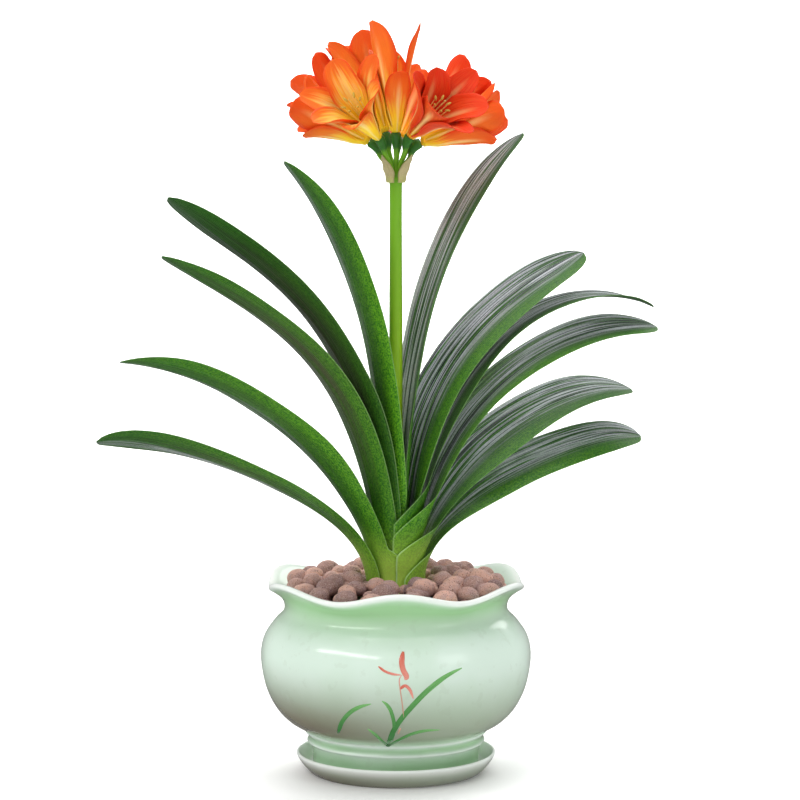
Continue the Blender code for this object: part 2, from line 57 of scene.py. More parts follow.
# Ware: radius, height, how thick the glaze pools, how bare and white the lip is
SAUCER_RING = [
    (0.0, 5.9, 0.10, 0.0), (40.0, 5.9, 0.10, 0.0), (60.0, 5.9, 0.20, 0.0),
    (64.6, 7.2, 0.45, 0.0), (68.4, 11.2, 0.10, 0.2), (70.6, 14.5, 0.0, 1.0),
    (72.0, 13.8, 0.0, 1.0), (71.4, 11.4, 0.05, 0.3), (69.0, 7.6, 0.30, 0.0),
    (65.6, 3.6, 0.40, 0.0), (62.4, 0.5, 0.30, 0.0), (61.0, 0.0, 0.0, 0.8),
    (55.0, 0.0, 0.0, 0.8), (0.0, 0.0, 0.0, 0.8),
]
# steps between the points of a ring, and the point where the saucer's inside ends
WARE_STEPS = 4
SAUCER_LIP_STEP = 6
POT_RING = [
    (58.6, 6.3, 0.3, 0.3), (60.4, 8.0, 0.35, 0.0), (60.3, 12.0, 0.75, 0.0),
    (60.9, 17.0, 0.60, 0.0), (62.6, 20.8, 0.25, 0.0), (64.4, 22.8, 0.0, 0.45),
    (63.6, 24.6, 0.55, 0.0), (63.2, 26.4, 0.75, 0.0), (64.8, 28.4, 0.30, 0.0),
    (66.2, 30.0, 0.0, 0.45), (66.4, 31.6, 0.45, 0.0), (69.6, 33.4, 0.55, 0.0),
    (78.2, 38.6, 0.36, 0.0), (86.2, 46.8, 0.30, 0.0), (92.6, 58.2, 0.24, 0.0),
    (96.4, 71.5, 0.14, 0.0), (97.9, 87.0, 0.03, 0.0), (95.2, 99.5, 0.02, 0.0),
    (87.6, 110.7, 0.16, 0.0), (82.6, 115.6, 0.34, 0.0), (80.8, 119.6, 0.55, 0.0),
    (81.4, 124.4, 0.80, 0.0), (84.2, 129.6, 1.0, 0.0), (89.4, 134.0, 0.70, 0.0),
    (93.4, 136.6, 0.10, 0.55), (94.4, 138.4, 0.0, 1.0), (93.4, 139.8, 0.0, 1.0),
    (91.4, 139.8, 0.0, 0.9), (88.0, 138.4, 0.05, 0.2), (84.0, 135.0, 0.18, 0.0),
    (80.2, 131.0, 0.25, 0.0), (75.4, 121.0, 0.30, 0.0), (83.0, 107.6, 0.20, 0.0),
    (90.0, 97.6, 0.20, 0.0), (92.4, 87.0, 0.20, 0.0), (86.2, 60.5, 0.20, 0.0),
    (70.0, 41.6, 0.20, 0.0), (9.0, 34.6, 0.20, 0.0), (9.0, 28.0, 0.10, 0.5),
    (48.0, 25.0, 0.10, 0.5), (53.6, 6.3, 0.10, 0.8),
]
# heights in metres at which the painted shade low on the outside starts, is full and has faded
SAUCER_SHADE_HEIGHTS = (-0.001, 0.0, 0.020)
POT_SHADE_HEIGHTS = (0.030, 0.037, 0.094)
RIM_WAVES = 6
RIM_WAVE_PHASE = math.radians(-88.0)
RIM_WAVE_OUT = 2.2
RIM_WAVE_UP = 3.8
RIM_WAVE_HEIGHTS = (120.0, 138.0)

# Painted sprig on the pot's front: places across and up, then the half width of the stroke.
# A program outside this file worked out these places from points read off the photo, and
# they were rounded or shifted a little by hand.
SPRIG_LEAVES = {
    "long": ([(-6, 32), (-2, 45), (4, 56), (12, 66), (21, 75.5), (31, 83.5), (39, 88), (46, 90.7)], 1.9),
    "inner": ([(-3, 36), (-1, 50), (-3, 61), (-6, 66.5), (-9.5, 69.4)], 1.3),
    "far": ([(-40.5, 41.5), (-37.5, 51.5), (-32, 59.4), (-25, 64.3), (-17, 67)], 1.5),
    "low_left": ([(-5.5, 31), (-10.5, 38), (-14.5, 43), (-19.5, 47.5)], 1.2),
    "low_right": ([(-5.5, 31), (3, 38.5), (11.5, 43.5), (20.5, 45.7), (31, 45.7)], 1.3),
}
SPRIG_PETALS = {
    "upper": ([(5.2, 103.5), (4.2, 97), (5.2, 91.5), (7.6, 86.5), (6.0, 85.0)], 1.9),
    "side": ([(-12.0, 93.8), (-7.4, 90.5), (-1.8, 88.6), (3.6, 88.0)], 0.85),
    "lower": ([(3.0, 78.0), (6.4, 80.4), (9.8, 77.5), (12.2, 71.0)], 1.1),
}
SPRIG_STEM = ([(5.6, 57.0), (5.0, 63.0), (4.2, 70.0), (3.2, 77.4), (2.6, 84.6), (4.2, 88.0)], 0.45)
SPRIG_DOT = ([(1.6, 43.5), (2.6, 46.5), (3.4, 48.5)], 0.55)
STROKE_STEPS = 6
STROKE_COLUMNS = 5
STROKE_LIFT = 0.16
STROKE_THINNING = 0.55
# how fast a stroke swells at its start and end, and its least swell
STROKE_GROWTH = (5.0, 3.0)
STROKE_LEAST_SWELL = 0.02
# metres from the axis to where the rays that find the pot's front begin
STROKE_RAY_START = -0.3

# Stones: the same seeded rings as the solid bed, and small ones that fill between them
STONE_SEED = 7
STONE_RINGS = [(35.0, 8, 141.0), (48.0, 12, 140.6), (60.8, 15, 139.2), (73.6, 20, 137.0)]
STONE_RADII = (6.6, 8.6)
STONE_SQUASH = ((0.95, 1.15), (0.85, 1.0), (0.78, 0.92))
STONE_BACK_RISE = 0.03
STONE_LIMIT = 82.0
# chance shifts: share of a step round the ring, outward, upward, and tip in radians
STONE_SHIFTS = (0.16, 1.2, 1.0, 0.35)
# noise over a stone: its scale, then depth and rate of the large and the small lumps
STONE_NOISE = 1.3
STONE_LARGE_LUMPS = (0.075, 1.0)
STONE_SMALL_LUMPS = (0.022, 4.0)
# depth and rate of the pits, and how high the noise is where one begins
STONE_PITS = (0.06, 5.5, 0.28)
STONE_NOISE_REACH = 50.0
FILL_RINGS = [
    (76.4, 27, 131.8), (61.0, 20, 131.4), (48.0, 16, 132.0), (36.0, 12, 132.4),
    (27.6, 11, 136.8), (33.0, 12, 137.5), (41.5, 14, 137.4), (54.4, 18, 136.6), (67.2, 22, 135.2),
]
FILL_RADII = (4.6, 5.8)

# where blades of leaves and petals start to thin towards their tips, as a share of their length,
# then for each the loss at the edge, how late it comes, and the loss at the tip
THINNER_FROM = 0.8
LEAF_THINNING = (0.7, 6, 0.45)
PETAL_THINNING = (0.72, 4, 0.4)

# Leaves from the inside out
LEAF_BASE = 118.0
LEAF_RISE = 22.0
LEAF_FIRST_RADIUS = 6.6
LEAF_RADIUS_STEP = 1.85
SHEATH_RADIUS_STEP = 1.38
SHEATH_EASE = (146.0, 215.0)
WRAP_ANGLES = (78.0, 70.0)
WRAP_HEIGHTS = (126.0, 148.0)
OPEN_HEIGHTS = (136.0, 190.0)
EARLY_LEAN = 0.28
UNROLL_FROM = 26.0
UNROLL_RATE = 0.22
UNROLL_LIMIT = 34.0
LEAF_PATH_STEPS = 480
LEAF_STATION_SPREAD = 1.05
LEAF_ACROSS_SPREAD = 0.9
# share of the half width at the foot, and how far up it is full
LEAF_SHOULDER = 0.80
LEAF_FULL_AT = 0.45
LEAF_POINT_FROM = 0.72
LEAF_POINT_SHAPE = 0.996
# how blunt the tips are, and how many of the inner leaves have the sharper one
LEAF_SHARP = 2.2
LEAF_BLUNT = 3.1
LEAF_SHARP_COUNT = 2
LEAF_AXIS_ROOM = 1.2
LEAF_LEAST_DEPTH = 1.0
LEAF_LEAST_WIDTH = 0.4
FRONT_LAP_ROOM = 8.0
# relief over a leaf: heights between which it grows, vein depth and number, midrib height and
# breadth, and the wave of the edges: its height, length and shift from leaf to leaf
RELIEF_HEIGHTS = (150.0, 230.0)
LEAF_VEINS = (0.10, 12.0)
LEAF_MIDRIB = (0.9, 0.10)
LEAF_WAVE = (0.8, 21.0, 1.7)
RELIEF_FADE = (0.85, 1.0)
# painted values along and across a blade: where the painted sheen, a painted reflection, and
# the brown come in, where that sheen and the fresh green lie on the right leaves and on the left ones
COLOUR_STARTS = (0.03, 0.20)
RIGHT_SHEEN = (-0.45, 0.10)
RIGHT_GREEN = (-0.75, -0.25)
LEFT_SHEEN = (-0.35, 0.28)
LEFT_SHEEN_STARTS = (0.25, 0.55)
LEFT_GREEN = (0.30, 0.75)
# the fresh green: how much of it stays where the blade is not young, how much fades towards
# the tip and where, and the foot that is always fresh
FRESH_EVERYWHERE = 0.5
FRESH_FADE = 0.45
FRESH_FADE_RUN = (0.45, 0.95)
FRESH_FOOT = (0.02, 0.28)
# the brown tinge: where it is deepest, how far it spreads, how much fresh green drives it back
BROWN_DEEPEST = 0.55
BROWN_SPREAD = 0.30
BROWN_DRIVEN_BACK = 0.7
# millimetres from the foot between which the pale sheath ends, how much sooner at the edges,
# how pale it is, and how pale on the leaves that show little of it
PALE_ENDS = (24.0, 74.0)
PALE_EDGE_LAG = 12.0
PALE_STRENGTH = 0.9
PALE_HIDDEN = 0.45
PALE_LEAVES = (4, 8)
# leaf: height of its notch in front, how far round it laps there, how fast it draws back
FRONT_LAPS = {
    "leaf_right_6": (144.0, 97.0, 3.4),
    "leaf_left_5": (141.0, 40.0, 2.0),
    "leaf_right_5": (156.7, 115.0, 3.2),
    "leaf_left_4": (156.7, 72.0, 3.5),
    "leaf_right_4": (172.0, 112.0, 2.4),
    "leaf_left_3": (165.0, 81.0, 5.0),
    "leaf_right_3": (182.0, 108.0, 2.4),
    "leaf_left_2": (176.0, 70.0, 4.0),
}
# name: azimuth, four tilts, blade length, half width, twist midway and at the tip,
# then how strong the grey sheen (a painted reflection), the brown tinge and the fresh green are.
# A program outside this file fitted the azimuths, tilts, lengths, half widths and twists to
# points read off the photo, and the part's source holds them too. Only the twists of leaf_left_4
# and leaf_left_5 were set here.
LEAVES = [
    ("leaf_right_1", 31.0, (0, 0, 22, 49), 349.0, 21.5, (-10.0, 0.0), (0.80, 0.15, 0.35)),
    ("leaf_left_1", 215.0, (0, 0, 17, 47), 323.0, 21.5, (-8.0, -4.0), (0.55, 0.05, 0.90)),
    ("leaf_right_2", 33.0, (0, 0, 75, 61), 304.0, 20.0, (24.0, 27.0), (1.00, 0.10, 0.65)),
    ("leaf_left_2", 212.0, (0, 0, 73, 53), 347.0, 21.5, (0.0, 11.0), (0.15, 0.55, 0.25)),
    ("leaf_right_3", 29.0, (0, 22, 57, 114), 335.0, 16.0, (10.0, 4.0), (0.95, 0.35, 0.30)),
    ("leaf_left_3", 213.0, (0, 8, 77, 59), 316.0, 21.5, (1.0, 4.0), (0.20, 0.75, 0.55)),
    ("leaf_right_4", 27.0, (0, 34, 69, 93), 302.0, 21.5, (11.0, 23.0), (0.85, 0.15, 0.75)),
    ("leaf_left_4", 206.0, (2, 53, 55, 86), 271.0, 21.5, (13.0, 13.0), (0.55, 0.15, 0.70)),
    ("leaf_right_5", 33.0, (0, 70, 56, 98), 253.0, 21.5, (31.0, 20.0), (0.90, 0.05, 0.60)),
    ("leaf_left_5", 203.0, (6, 97, 44, 97), 241.0, 16.0, (15.0, 33.0), (0.75, 0.35, 0.45)),
    ("leaf_right_6", 31.0, (1, 103, 51, 100), 230.0, 17.0, (48.0, 37.0), (0.85, 0.05, 0.60)),
]

# Stalk, bracts and flowers
SCAPE_TOP = 432.0
SCAPE_PROFILE = [(118.0, 5.0), (200.0, 5.0), (320.0, 4.8), (422.0, 4.5), (429.0, 5.6), (432.0, 3.6)]
SCAPE_SIDES = 28
SCAPE_STEPS = 8
PEDICEL_SIDES = 14
PEDICEL_STEPS = 7
PEDICEL_FOOT = (1.8, 5.0)
PEDICEL_THINNEST = 1.6
# radii between which a pedicel turns into the dark ovary
OVARY_RADII = (1.5, 2.6)
PEDICEL_BEND = 0.7
PEDICEL_HEAD = [(15.0, 1.7), (11.0, 2.6), (7.2, 3.3), (4.2, 3.7), (2.2, 3.6), (1.2, 2.9)]
PEDICEL_DROOP = 0.8
BRACT_RADIUS = 6.1
BRACT_FOOT = 6.0
BRACT_CURL = 8.6
BRACT_FLARE = 8.0
BRACT_ROWS = 26
BRACT_COLUMNS = 13
# share of the lean at the foot, share of the breadth there, its full swell and where it is full
BRACT_FOOT_LEAN = 0.55
BRACT_SWELL = (0.76, 0.49, 0.50)
BRACT_POINT = 2.4
BRACT_LEAST_WIDTH = 0.5
BRACT_THICKNESS = 0.6
# ripple of the edges: height and rate
BRACT_RIPPLE = (0.25, 17.0)
BRACTS = [("bract_left", 223.0, 21.0, 13.0, 5.3), ("bract_right", 320.0, 22.0, 17.0, 5.3)]
# name: tube base, axis, flare of the lobes, length, scale across, turn, then how red it is.
# The axes, flares and turns came out of a random search, by a program outside this file,
# that kept the flowers from crossing, and the part's source holds them too.
BLOOMS = [
    ("bloom_1", (-13, -15, 459), (-0.42, -0.73, 0.54), 42.0, 66.0, 1.05, 117.5, 0.10),
    ("bloom_2", (-20, 0, 456), (-0.90, -0.04, 0.44), 24.6, 64.0, 1.00, 5.0, 0.35),
    ("bloom_3", (-16, 13, 459), (-0.65, 0.40, 0.65), 23.7, 72.0, 1.00, 11.6, 0.60),
    ("bloom_4", (-8, 8, 463), (-0.31, 0.10, 0.95), 17.1, 74.0, 1.00, 85.8, 0.30),
    ("bloom_5", (0, -6, 463), (-0.03, -0.14, 0.99), 4.9, 80.0, 0.92, 16.5, 0.25),
    ("bloom_6", (11, -14, 460), (0.50, -0.71, 0.50), 35.4, 66.0, 1.05, 26.0, 0.95),
    ("bloom_7", (13, 6, 461), (0.69, 0.25, 0.68), 27.5, 66.0, 1.00, 109.3, 0.80),
    ("bloom_8", (19, 0, 455), (0.95, -0.06, 0.31), 19.2, 66.0, 1.00, 68.3, 0.55),
    ("bloom_9", (2, 18, 458), (0.11, 0.87, 0.47), 32.3, 68.0, 1.00, 118.2, 0.55),
]
# flower and petal: length share, extra flare, breadth share
PETAL_TWEAKS = {
    ("bloom_2", 4): (0.72, -6.0, 1.0),
    ("bloom_2", 5): (0.80, -6.0, 1.0),
    ("bloom_4", 0): (0.78, 0.0, 1.0),
    ("bloom_5", 0): (0.74, 3.0, 1.0),
    ("bloom_5", 1): (0.72, 0.0, 1.0),
    ("bloom_5", 2): (0.62, 22.0, 1.05),
    ("bloom_5", 3): (0.98, 5.0, 0.62),
    ("bloom_5", 4): (0.60, 18.0, 1.0),
    ("bloom_5", 5): (1.02, 1.0, 1.12),
    ("bloom_6", 1): (0.86, 0.0, 1.05),
    ("bloom_7", 0): (0.72, 0.0, 1.0),
    ("bloom_8", 3): (0.80, -6.0, 1.0),
    ("bloom_8", 4): (0.80, -6.0, 1.0),
}
PETAL_COUNT = 6
PETAL_WIDTHS = (10.8, 13.4)
PETAL_FOOT = 3.2
PETAL_PATH_STEPS = 120
PETAL_STATION_SPREAD = 0.92
PETAL_START_TILT = 9.0
PETAL_INNER_FLARE = 0.8
PETAL_OPEN = (0.12, 0.95)
# how much slimmer the tube is at its foot, and where that ends
PETAL_SLIM = (0.34, 0.22)
PETAL_ROOM = math.pi / 3.0 * 1.02
PETAL_FULL_AT = 0.62
PETAL_POINT = 2.5
PETAL_LEAST_SHARE = 0.05
# shares between which a petal changes from the tube's round to its own cup
PETAL_BLEND = (0.35, 0.65)
PETAL_CUP = 15.0
PETAL_TUBE_CUP = 1.05
PETAL_MOST_BEND = 1.2
# relief over a petal: midrib height and breadth, vein depth and number, and the wave of the
# edges: its height and rate
PETAL_MIDRIB = (0.55, 0.13)
PETAL_VEINS = (0.05, 7.0)
PETAL_WAVE = (0.9, 15.0)
PETAL_WAVE_STARTS = (0.45, 0.9)
PETAL_RELIEF_FADE = (0.9, 1.0)
PETAL_RED_CHANCE = 0.22
TUBE_RADIUS = 3.4
OUTER_LAYER_GAP = 1.7
# distance along the flower and radius of the core that closes the tube's foot
FLOWER_CORE = [(-1.0, 2.5), (0.6, 3.6), (2.2, 4.2), (3.4, 3.4)]
FLOWER_CORE_STEPS = 4
FLOWER_CORE_SIDES = 24
# the last of the seven is the style
STAMEN_COUNT = 7
STAMEN_ROOT = [(2.8, 0.4), (4.1, 1.5), (5.4, 0.5)]
STAMEN_ROOT_SIDES = 12
STAMEN_START = 4.4
STAMEN_REACH = 0.66
STYLE_REACH = 1.1
STAMEN_SPREAD = (2.5, 0.10)
THREAD_RADII = (0.55, 0.34)
# bends of a thread: a share of its reach or millimetres short of it, then share of its spread
THREAD_MIDDLE = (0.55, 0.62)
THREAD_NECK = (4.0, 0.95)
THREAD_END = 1.4
# how far an anther leans forward and outward
ANTHER_LEAN = (0.75, 0.66)
THREAD_STEPS = 5
THREAD_SIDES = 8
BEAD_RINGS = 9
BEAD_SIDES = 10
# beads on the ends of the threads: half length, radius, and how olive they are
ANTHER_BEAD = (2.2, 0.85, 1.0)
STYLE_BEAD = (1.1, 0.6, 0.2)

# Floor in metres: half width, front edge, where it starts to curve up, radius, and top
FLOOR_HALF_WIDTH = 8.0
FLOOR_FRONT = -6.0
FLOOR_BEND_START = 2.0
FLOOR_BEND_RADIUS = 1.5
FLOOR_TOP = 6.0
FLOOR_BEND_STEPS = 12
# distances between which the far floor's own light comes up
FLOOR_GLOW_FROM = (1.2, 3.2)

# Camera and lights
CAMERA_PLACE = (0.003, -2.0, 0.45)
CAMERA_AIM = (0.003, 0.0, 0.27)
SENSOR_WIDTH = 36.0
# name: place, aim, width, height, power, colour
LIGHTS = [
    ("key_left", (-1.3, -1.2, 1.5), (0.0, 0.0, 0.25), 2.2, 0.3, 19.0, (1.0, 0.99, 0.97)),
    ("fill_right", (1.5, -1.2, 0.9), (0.0, 0.0, 0.25), 0.8, 0.9, 5.0, (0.98, 0.99, 1.0)),
    ("top", (0.0, 0.1, 1.9), (0.0, 0.0, 0.2), 1.6, 1.6, 22.0, (1.0, 1.0, 1.0)),
    ("back_right", (1.0, 1.4, 1.2), (0.0, 0.0, 0.3), 0.8, 0.8, 6.0, (1.0, 1.0, 1.0)),
    ("backdrop_wash", (0.0, 1.7, 2.6), (0.0, 3.5, 0.7), 4.0, 0.6, 110.0, (1.0, 1.0, 1.0)),
]


def smooth_step(value, low, high):
    """Rise softly from 0 at low to 1 at high."""
    share = np.clip((value - low) / (high - low), 0.0, 1.0)
    return share * share * (3.0 - 2.0 * share)


def bend_value(values, share):
    """Cubic blend of four values, reached exactly at both ends."""
    rest = 1.0 - share
    a, b, c, d = values
    return a * rest**3 + 3 * b * rest * rest * share + 3 * c * rest * share**2 + d * share**3


def smooth_line(points, steps, closed=False):
    """Points of a soft curve that passes through all those given."""
    source = np.array(points, dtype=float)
    if closed:
        source = np.vstack([source, source[:1]])
    gaps = np.linalg.norm(np.diff(source[:, :2], axis=0), axis=1) ** 0.5
    places = np.concatenate([[0.0], np.cumsum(gaps)])
    slopes = np.zeros_like(source)
    slopes[1:-1] = (source[2:] - source[:-2]) / (places[2:] - places[:-2])[:, None]
    if closed:
        span = gaps[0] + gaps[-1]
        slopes[0] = slopes[-1] = (source[1] - source[-2]) / span
    else:
        slopes[0] = (source[1] - source[0]) / gaps[0]
        slopes[-1] = (source[-1] - source[-2]) / gaps[-1]
    found = []
    for i in range(len(source) - 1):
        for k in range(steps):
            t = k / steps
            found.append(
                source[i] * (2 * t**3 - 3 * t**2 + 1)
                + slopes[i] * gaps[i] * (t**3 - 2 * t**2 + t)
                + source[i + 1] * (3 * t**2 - 2 * t**3)
                + slopes[i + 1] * gaps[i] * (t**3 - t**2)
            )
    if not closed:
        found.append(source[-1])
    return np.array(found)


def band_faces(rings, sides, closed=False):
    """Four-sided faces between rings of points, and from the last to the first where closed."""
    faces = []
    for i in range(rings if closed else rings - 1):
        low, high = i * sides, (i + 1) % rings * sides
        for k in range(sides):
            m = (k + 1) % sides
            faces.append((low + k, low + m, high + m, high + k))
    return faces


def spun(radius, height, angles):
    """Points of rings round the Z axis, with a row of points for each radius and height."""
    across, back = radius * np.cos(angles), radius * np.sin(angles)
    return np.stack(np.broadcast_arrays(across, back, height), axis=-1).reshape(-1, 3)


def walked(tilt, step):
    """Distances outward and forward that equal steps at the given tilts reach."""
    turns = np.sin(tilt), np.cos(tilt)
    return [np.concatenate([[0.0], np.cumsum(turn)[:-1]]) * step for turn in turns]


def picked(places, *lines):
    """Read several fine lines at the same places between their points."""
    index = np.arange(len(lines[0]))
    return [np.interp(places, index, line) for line in lines]


def curled_strip(centre, side, outward, curl, widths, spread):
    """Middle points and normals of a strip that curls about the line of its centre."""
    bend = spread * widths / curl[:, None]
    sin_bend, cos_bend = np.sin(bend)[..., None], np.cos(bend)[..., None]
    radius = curl[:, None, None]
    middle = centre[:, None, :] + side * radius * sin_bend - outward * radius * (1.0 - cos_bend)
    return middle, outward * cos_bend + side * sin_bend


def thinned(spread, share, edge_loss, edge_power, tip_loss):
    """Share of a blade's thickness that is left towards its edges and its tip."""
    across = 1.0 - edge_loss * np.abs(spread) ** edge_power
    return across * (1.0 - tip_loss * smooth_step(share, THINNER_FROM, 1.0))[:, None]


class Shape:
    """Points, faces and painted values of one piece, gathered before its mesh is made."""

    def __init__(self, *value_names):
        self.points = []
        self.faces = []
        self.values = {name: [] for name in value_names}

    def add(self, points, faces, **values):
        start = len(self.points)
        self.points.extend([tuple(point) for point in points])
        self.faces.extend([tuple(start + i for i in face) for face in faces])
        for name, held in self.values.items():
            value = values.get(name, 0.0)
            held.extend(np.broadcast_to(value, (len(points),)).tolist())

    def add_plate(self, middle, normals, thickness, **values):
        """Close a grid of middle points into a thin plate, with a value upper on its inner face."""
        rows, columns = middle.shape[:2]
        half = (np.broadcast_to(thickness, (rows, columns)) / 2.0)[..., None]
        upper = (middle - normals * half).reshape(-1, 3)
        under = (middle + normals * half).reshape(-1, 3)
        count = rows * columns
        faces = []
        for i in range(rows - 1):
            for j in range(columns - 1):
                a = i * columns + j
                b, c, d = a + 1, a + columns + 1, a + columns
                faces.append((a, b, c, d))
                faces.append((count + a, count + d, count + c, count + b))
        edge = [i * columns for i in range(rows)]
        edge += [(rows - 1) * columns + j for j in range(1, columns)]
        edge += [i * columns + columns - 1 for i in range(rows - 2, -1, -1)]
        edge += list(range(columns - 2, 0, -1))
        for a, b in zip(edge, edge[1:] + edge[:1]):
            faces.append((a, b, count + b, count + a))
        doubled = {}
        for name, value in values.items():
            flat = np.broadcast_to(value, (rows, columns)).reshape(-1)
            doubled[name] = np.concatenate([flat, flat])
        doubled["upper"] = np.concatenate([np.ones(count), np.zeros(count)])
        self.add(np.concatenate([upper, under]), faces, **doubled)

    def add_tube(self, line, radii, sides, **values):
        """Loft closed rings along a line and cap both ends."""
        line = np.asarray(line, dtype=float)
        radii = np.broadcast_to(radii, (len(line),))
        directions = np.gradient(line, axis=0)
        directions /= np.linalg.norm(directions, axis=1)[:, None]
        reference = np.array([0.0, 1.0, 0.0])
        if abs(directions[0] @ reference) > 0.9:
            reference = np.array([1.0, 0.0, 0.0])
        points = []
        for place, direction, radius in zip(line, directions, radii):
            side = np.cross(direction, reference)
            side /= np.linalg.norm(side)
            up = np.cross(side, direction)
            for k in range(sides):
                angle = math.tau * k / sides
                points.append(place + (side * math.cos(angle) + up * math.sin(angle)) * radius)
        faces = band_faces(len(line), sides)
        last = (len(line) - 1) * sides
        faces.append(tuple(range(sides)))
        faces.append(tuple(range(last + sides - 1, last - 1, -1)))
        spread = {}
        for name, value in values.items():
            spread[name] = np.repeat(np.broadcast_to(value, (len(line),)), sides)
        self.add(points, faces, **spread)

    def build(self, name, material):
        """Make the object in metres, with outward faces, smooth shading and its values."""
        mesh = bpy.data.meshes.new(name)
        mesh.from_pydata([tuple(c * MM for c in point) for point in self.points], [], self.faces)
        bm = bmesh.new()
        bm.from_mesh(mesh)
        bmesh.ops.recalc_face_normals(bm, faces=bm.faces)
        bm.to_mesh(mesh)
        bm.free()
        for value_name, held in self.values.items():
            layer = mesh.attributes.new(value_name, "FLOAT", "POINT")
            layer.data.foreach_set("value", held)
        mesh.shade_smooth()
        made = bpy.data.objects.new(name, mesh)
        bpy.context.scene.collection.objects.link(made)
        mesh.materials.append(material)
        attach(made, "root")
        return made


def stand_for(piece, node):
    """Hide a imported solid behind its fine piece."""
    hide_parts(node)


def fill_inputs(tree, made, inputs):
    """Link a node's inputs to sockets, or set them to plain values."""
    for key, value in inputs.items():
        if isinstance(value, bpy.types.NodeSocket):
            tree.links.new(value, made.inputs[key])
        else:
            made.inputs[key].default_value = value


def add_node(tree, kind, inputs=None, **settings):
    """Add a node, set its properties, and fill or link its inputs by name or number."""
    made = tree.nodes.new("ShaderNode" + kind)
    for key, value in settings.items():
        setattr(made, key, value)
    fill_inputs(tree, made, inputs or {})
    return made


def maths(tree, operation, first, second=0.0, clamp=False):
    """One sum over two values or sockets."""
    made = add_node(tree, "Math", {0: first, 1: second}, operation=operation, use_clamp=clamp)
    return made.outputs[0]


def times(tree, first, second):
    return maths(tree, "MULTIPLY", first, second)


def plus(tree, first, second, clamp=False):
    return maths(tree, "ADD", first, second, clamp)


def ranged(tree, value, low, high, to_low=0.0, to_high=1.0):
    """Map a value from one range to another with soft ends."""
    inputs = {"Value": value, "From Min": low, "From Max": high, "To Min": to_low, "To Max": to_high}
    return add_node(tree, "MapRange", inputs, interpolation_type="SMOOTHSTEP").outputs["Result"]


def mixed(tree, share, first, second):
    """Blend two colours by a share."""
    made = add_node(tree, "Mix", {"Factor": share}, data_type="RGBA")
    for key, value in (("A", first), ("B", second)):
        socket = next(s for s in made.inputs if s.name == key and s.type == "RGBA")
        if isinstance(value, bpy.types.NodeSocket):
            tree.links.new(value, socket)
        else:
            socket.default_value = (*value, 1.0) if len(value) == 3 else value
    return next(s for s in made.outputs if s.type == "RGBA")


def painted(tree, name):
    """Read a value that the mesh carries."""
    return add_node(tree, "Attribute", attribute_name=name).outputs["Fac"]


def new_material(name, roughness, **constants):
    """Start a material and set the shader's plain values on its own sockets."""
    material = bpy.data.materials.new(name)
    material.use_nodes = True
    tree = material.node_tree
    shader = tree.nodes["Principled BSDF"]
    shader.inputs["Roughness"].default_value = roughness
    for key, value in constants.items():
        shader.inputs[key.replace("_", " ")].default_value = value
    return material, tree, shader


def new_group(name, inputs, outputs):
    """Start a shader node group with named sockets, and give its inner ends."""
    tree = bpy.data.node_groups.new(name, "ShaderNodeTree")
    for socket_name, kind, value in inputs:
        socket = tree.interface.new_socket(socket_name, in_out="INPUT", socket_type=kind)
        socket.default_value = value
    for socket_name, kind in outputs:
        tree.interface.new_socket(socket_name, in_out="OUTPUT", socket_type=kind)
    entry = tree.nodes.new("NodeGroupInput")
    leave = tree.nodes.new("NodeGroupOutput")
    return tree, entry.outputs, leave.inputs


def use_group(tree, name, inputs):
    """Place a node group with its own values and give its outputs."""
    made = tree.nodes.new("ShaderNodeGroup")
    made.node_tree = bpy.data.node_groups[name]
    fill_inputs(tree, made, inputs)
    return made.outputs


FLOAT = "NodeSocketFloat"
COLOUR = "NodeSocketColor"


def make_vein_group():
    """Parallel veins that run the length of a leaf, petal, bract or stalk."""
    tree, given, result = new_group(
        "Parallel Veins",
        [("Across", FLOAT, 0.0), ("Along", FLOAT, 0.0), ("Count", FLOAT, 12.0), ("Waver", FLOAT, 3.0)],
        [("Streak", FLOAT), ("Fine", FLOAT), ("Ridge", FLOAT), ("Dark", FLOAT)],
    )
    bands = times(tree, given["Across"], given["Count"])
    run = times(tree, given["Along"], given["Waver"])
    place = add_node(tree, "CombineXYZ", {"X": bands, "Y": run}).outputs[0]
    broad = add_node(tree, "TexNoise", {"Vector": place, "Scale": 0.8, "Detail": 2.0, "Roughness": 0.6})
    fine_place = add_node(tree, "VectorMath", {0: place, 1: (3.1, 1.4, 0.0)}, operation="MULTIPLY")
    fine = add_node(tree, "TexNoise", {
        "Vector": fine_place.outputs[0], "Scale": 1.0, "Detail": 3.0, "Roughness": 0.65,
    })
    dark_inputs = {0: place, 1: (1.7, 0.5, 5.0), 2: (4.0, 9.0, 2.0)}
    dark_place = add_node(tree, "VectorMath", dark_inputs, operation="MULTIPLY_ADD")
    dark = add_node(tree, "TexNoise", {"Vector": dark_place.outputs[0], "Scale": 1.0, "Detail": 2.0})
    tree.links.new(ranged(tree, dark.outputs["Fac"], 0.50, 0.62), result["Dark"])
    turns = plus(tree, bands, times(tree, broad.outputs["Fac"], 1.6))
    wave = maths(tree, "SINE", times(tree, turns, math.pi * 2.0))
    tree.links.new(ranged(tree, broad.outputs["Fac"], 0.36, 0.64), result["Streak"])
    tree.links.new(ranged(tree, fine.outputs["Fac"], 0.34, 0.66), result["Fine"])
    tree.links.new(plus(tree, times(tree, wave, 0.5), 0.5), result["Ridge"])


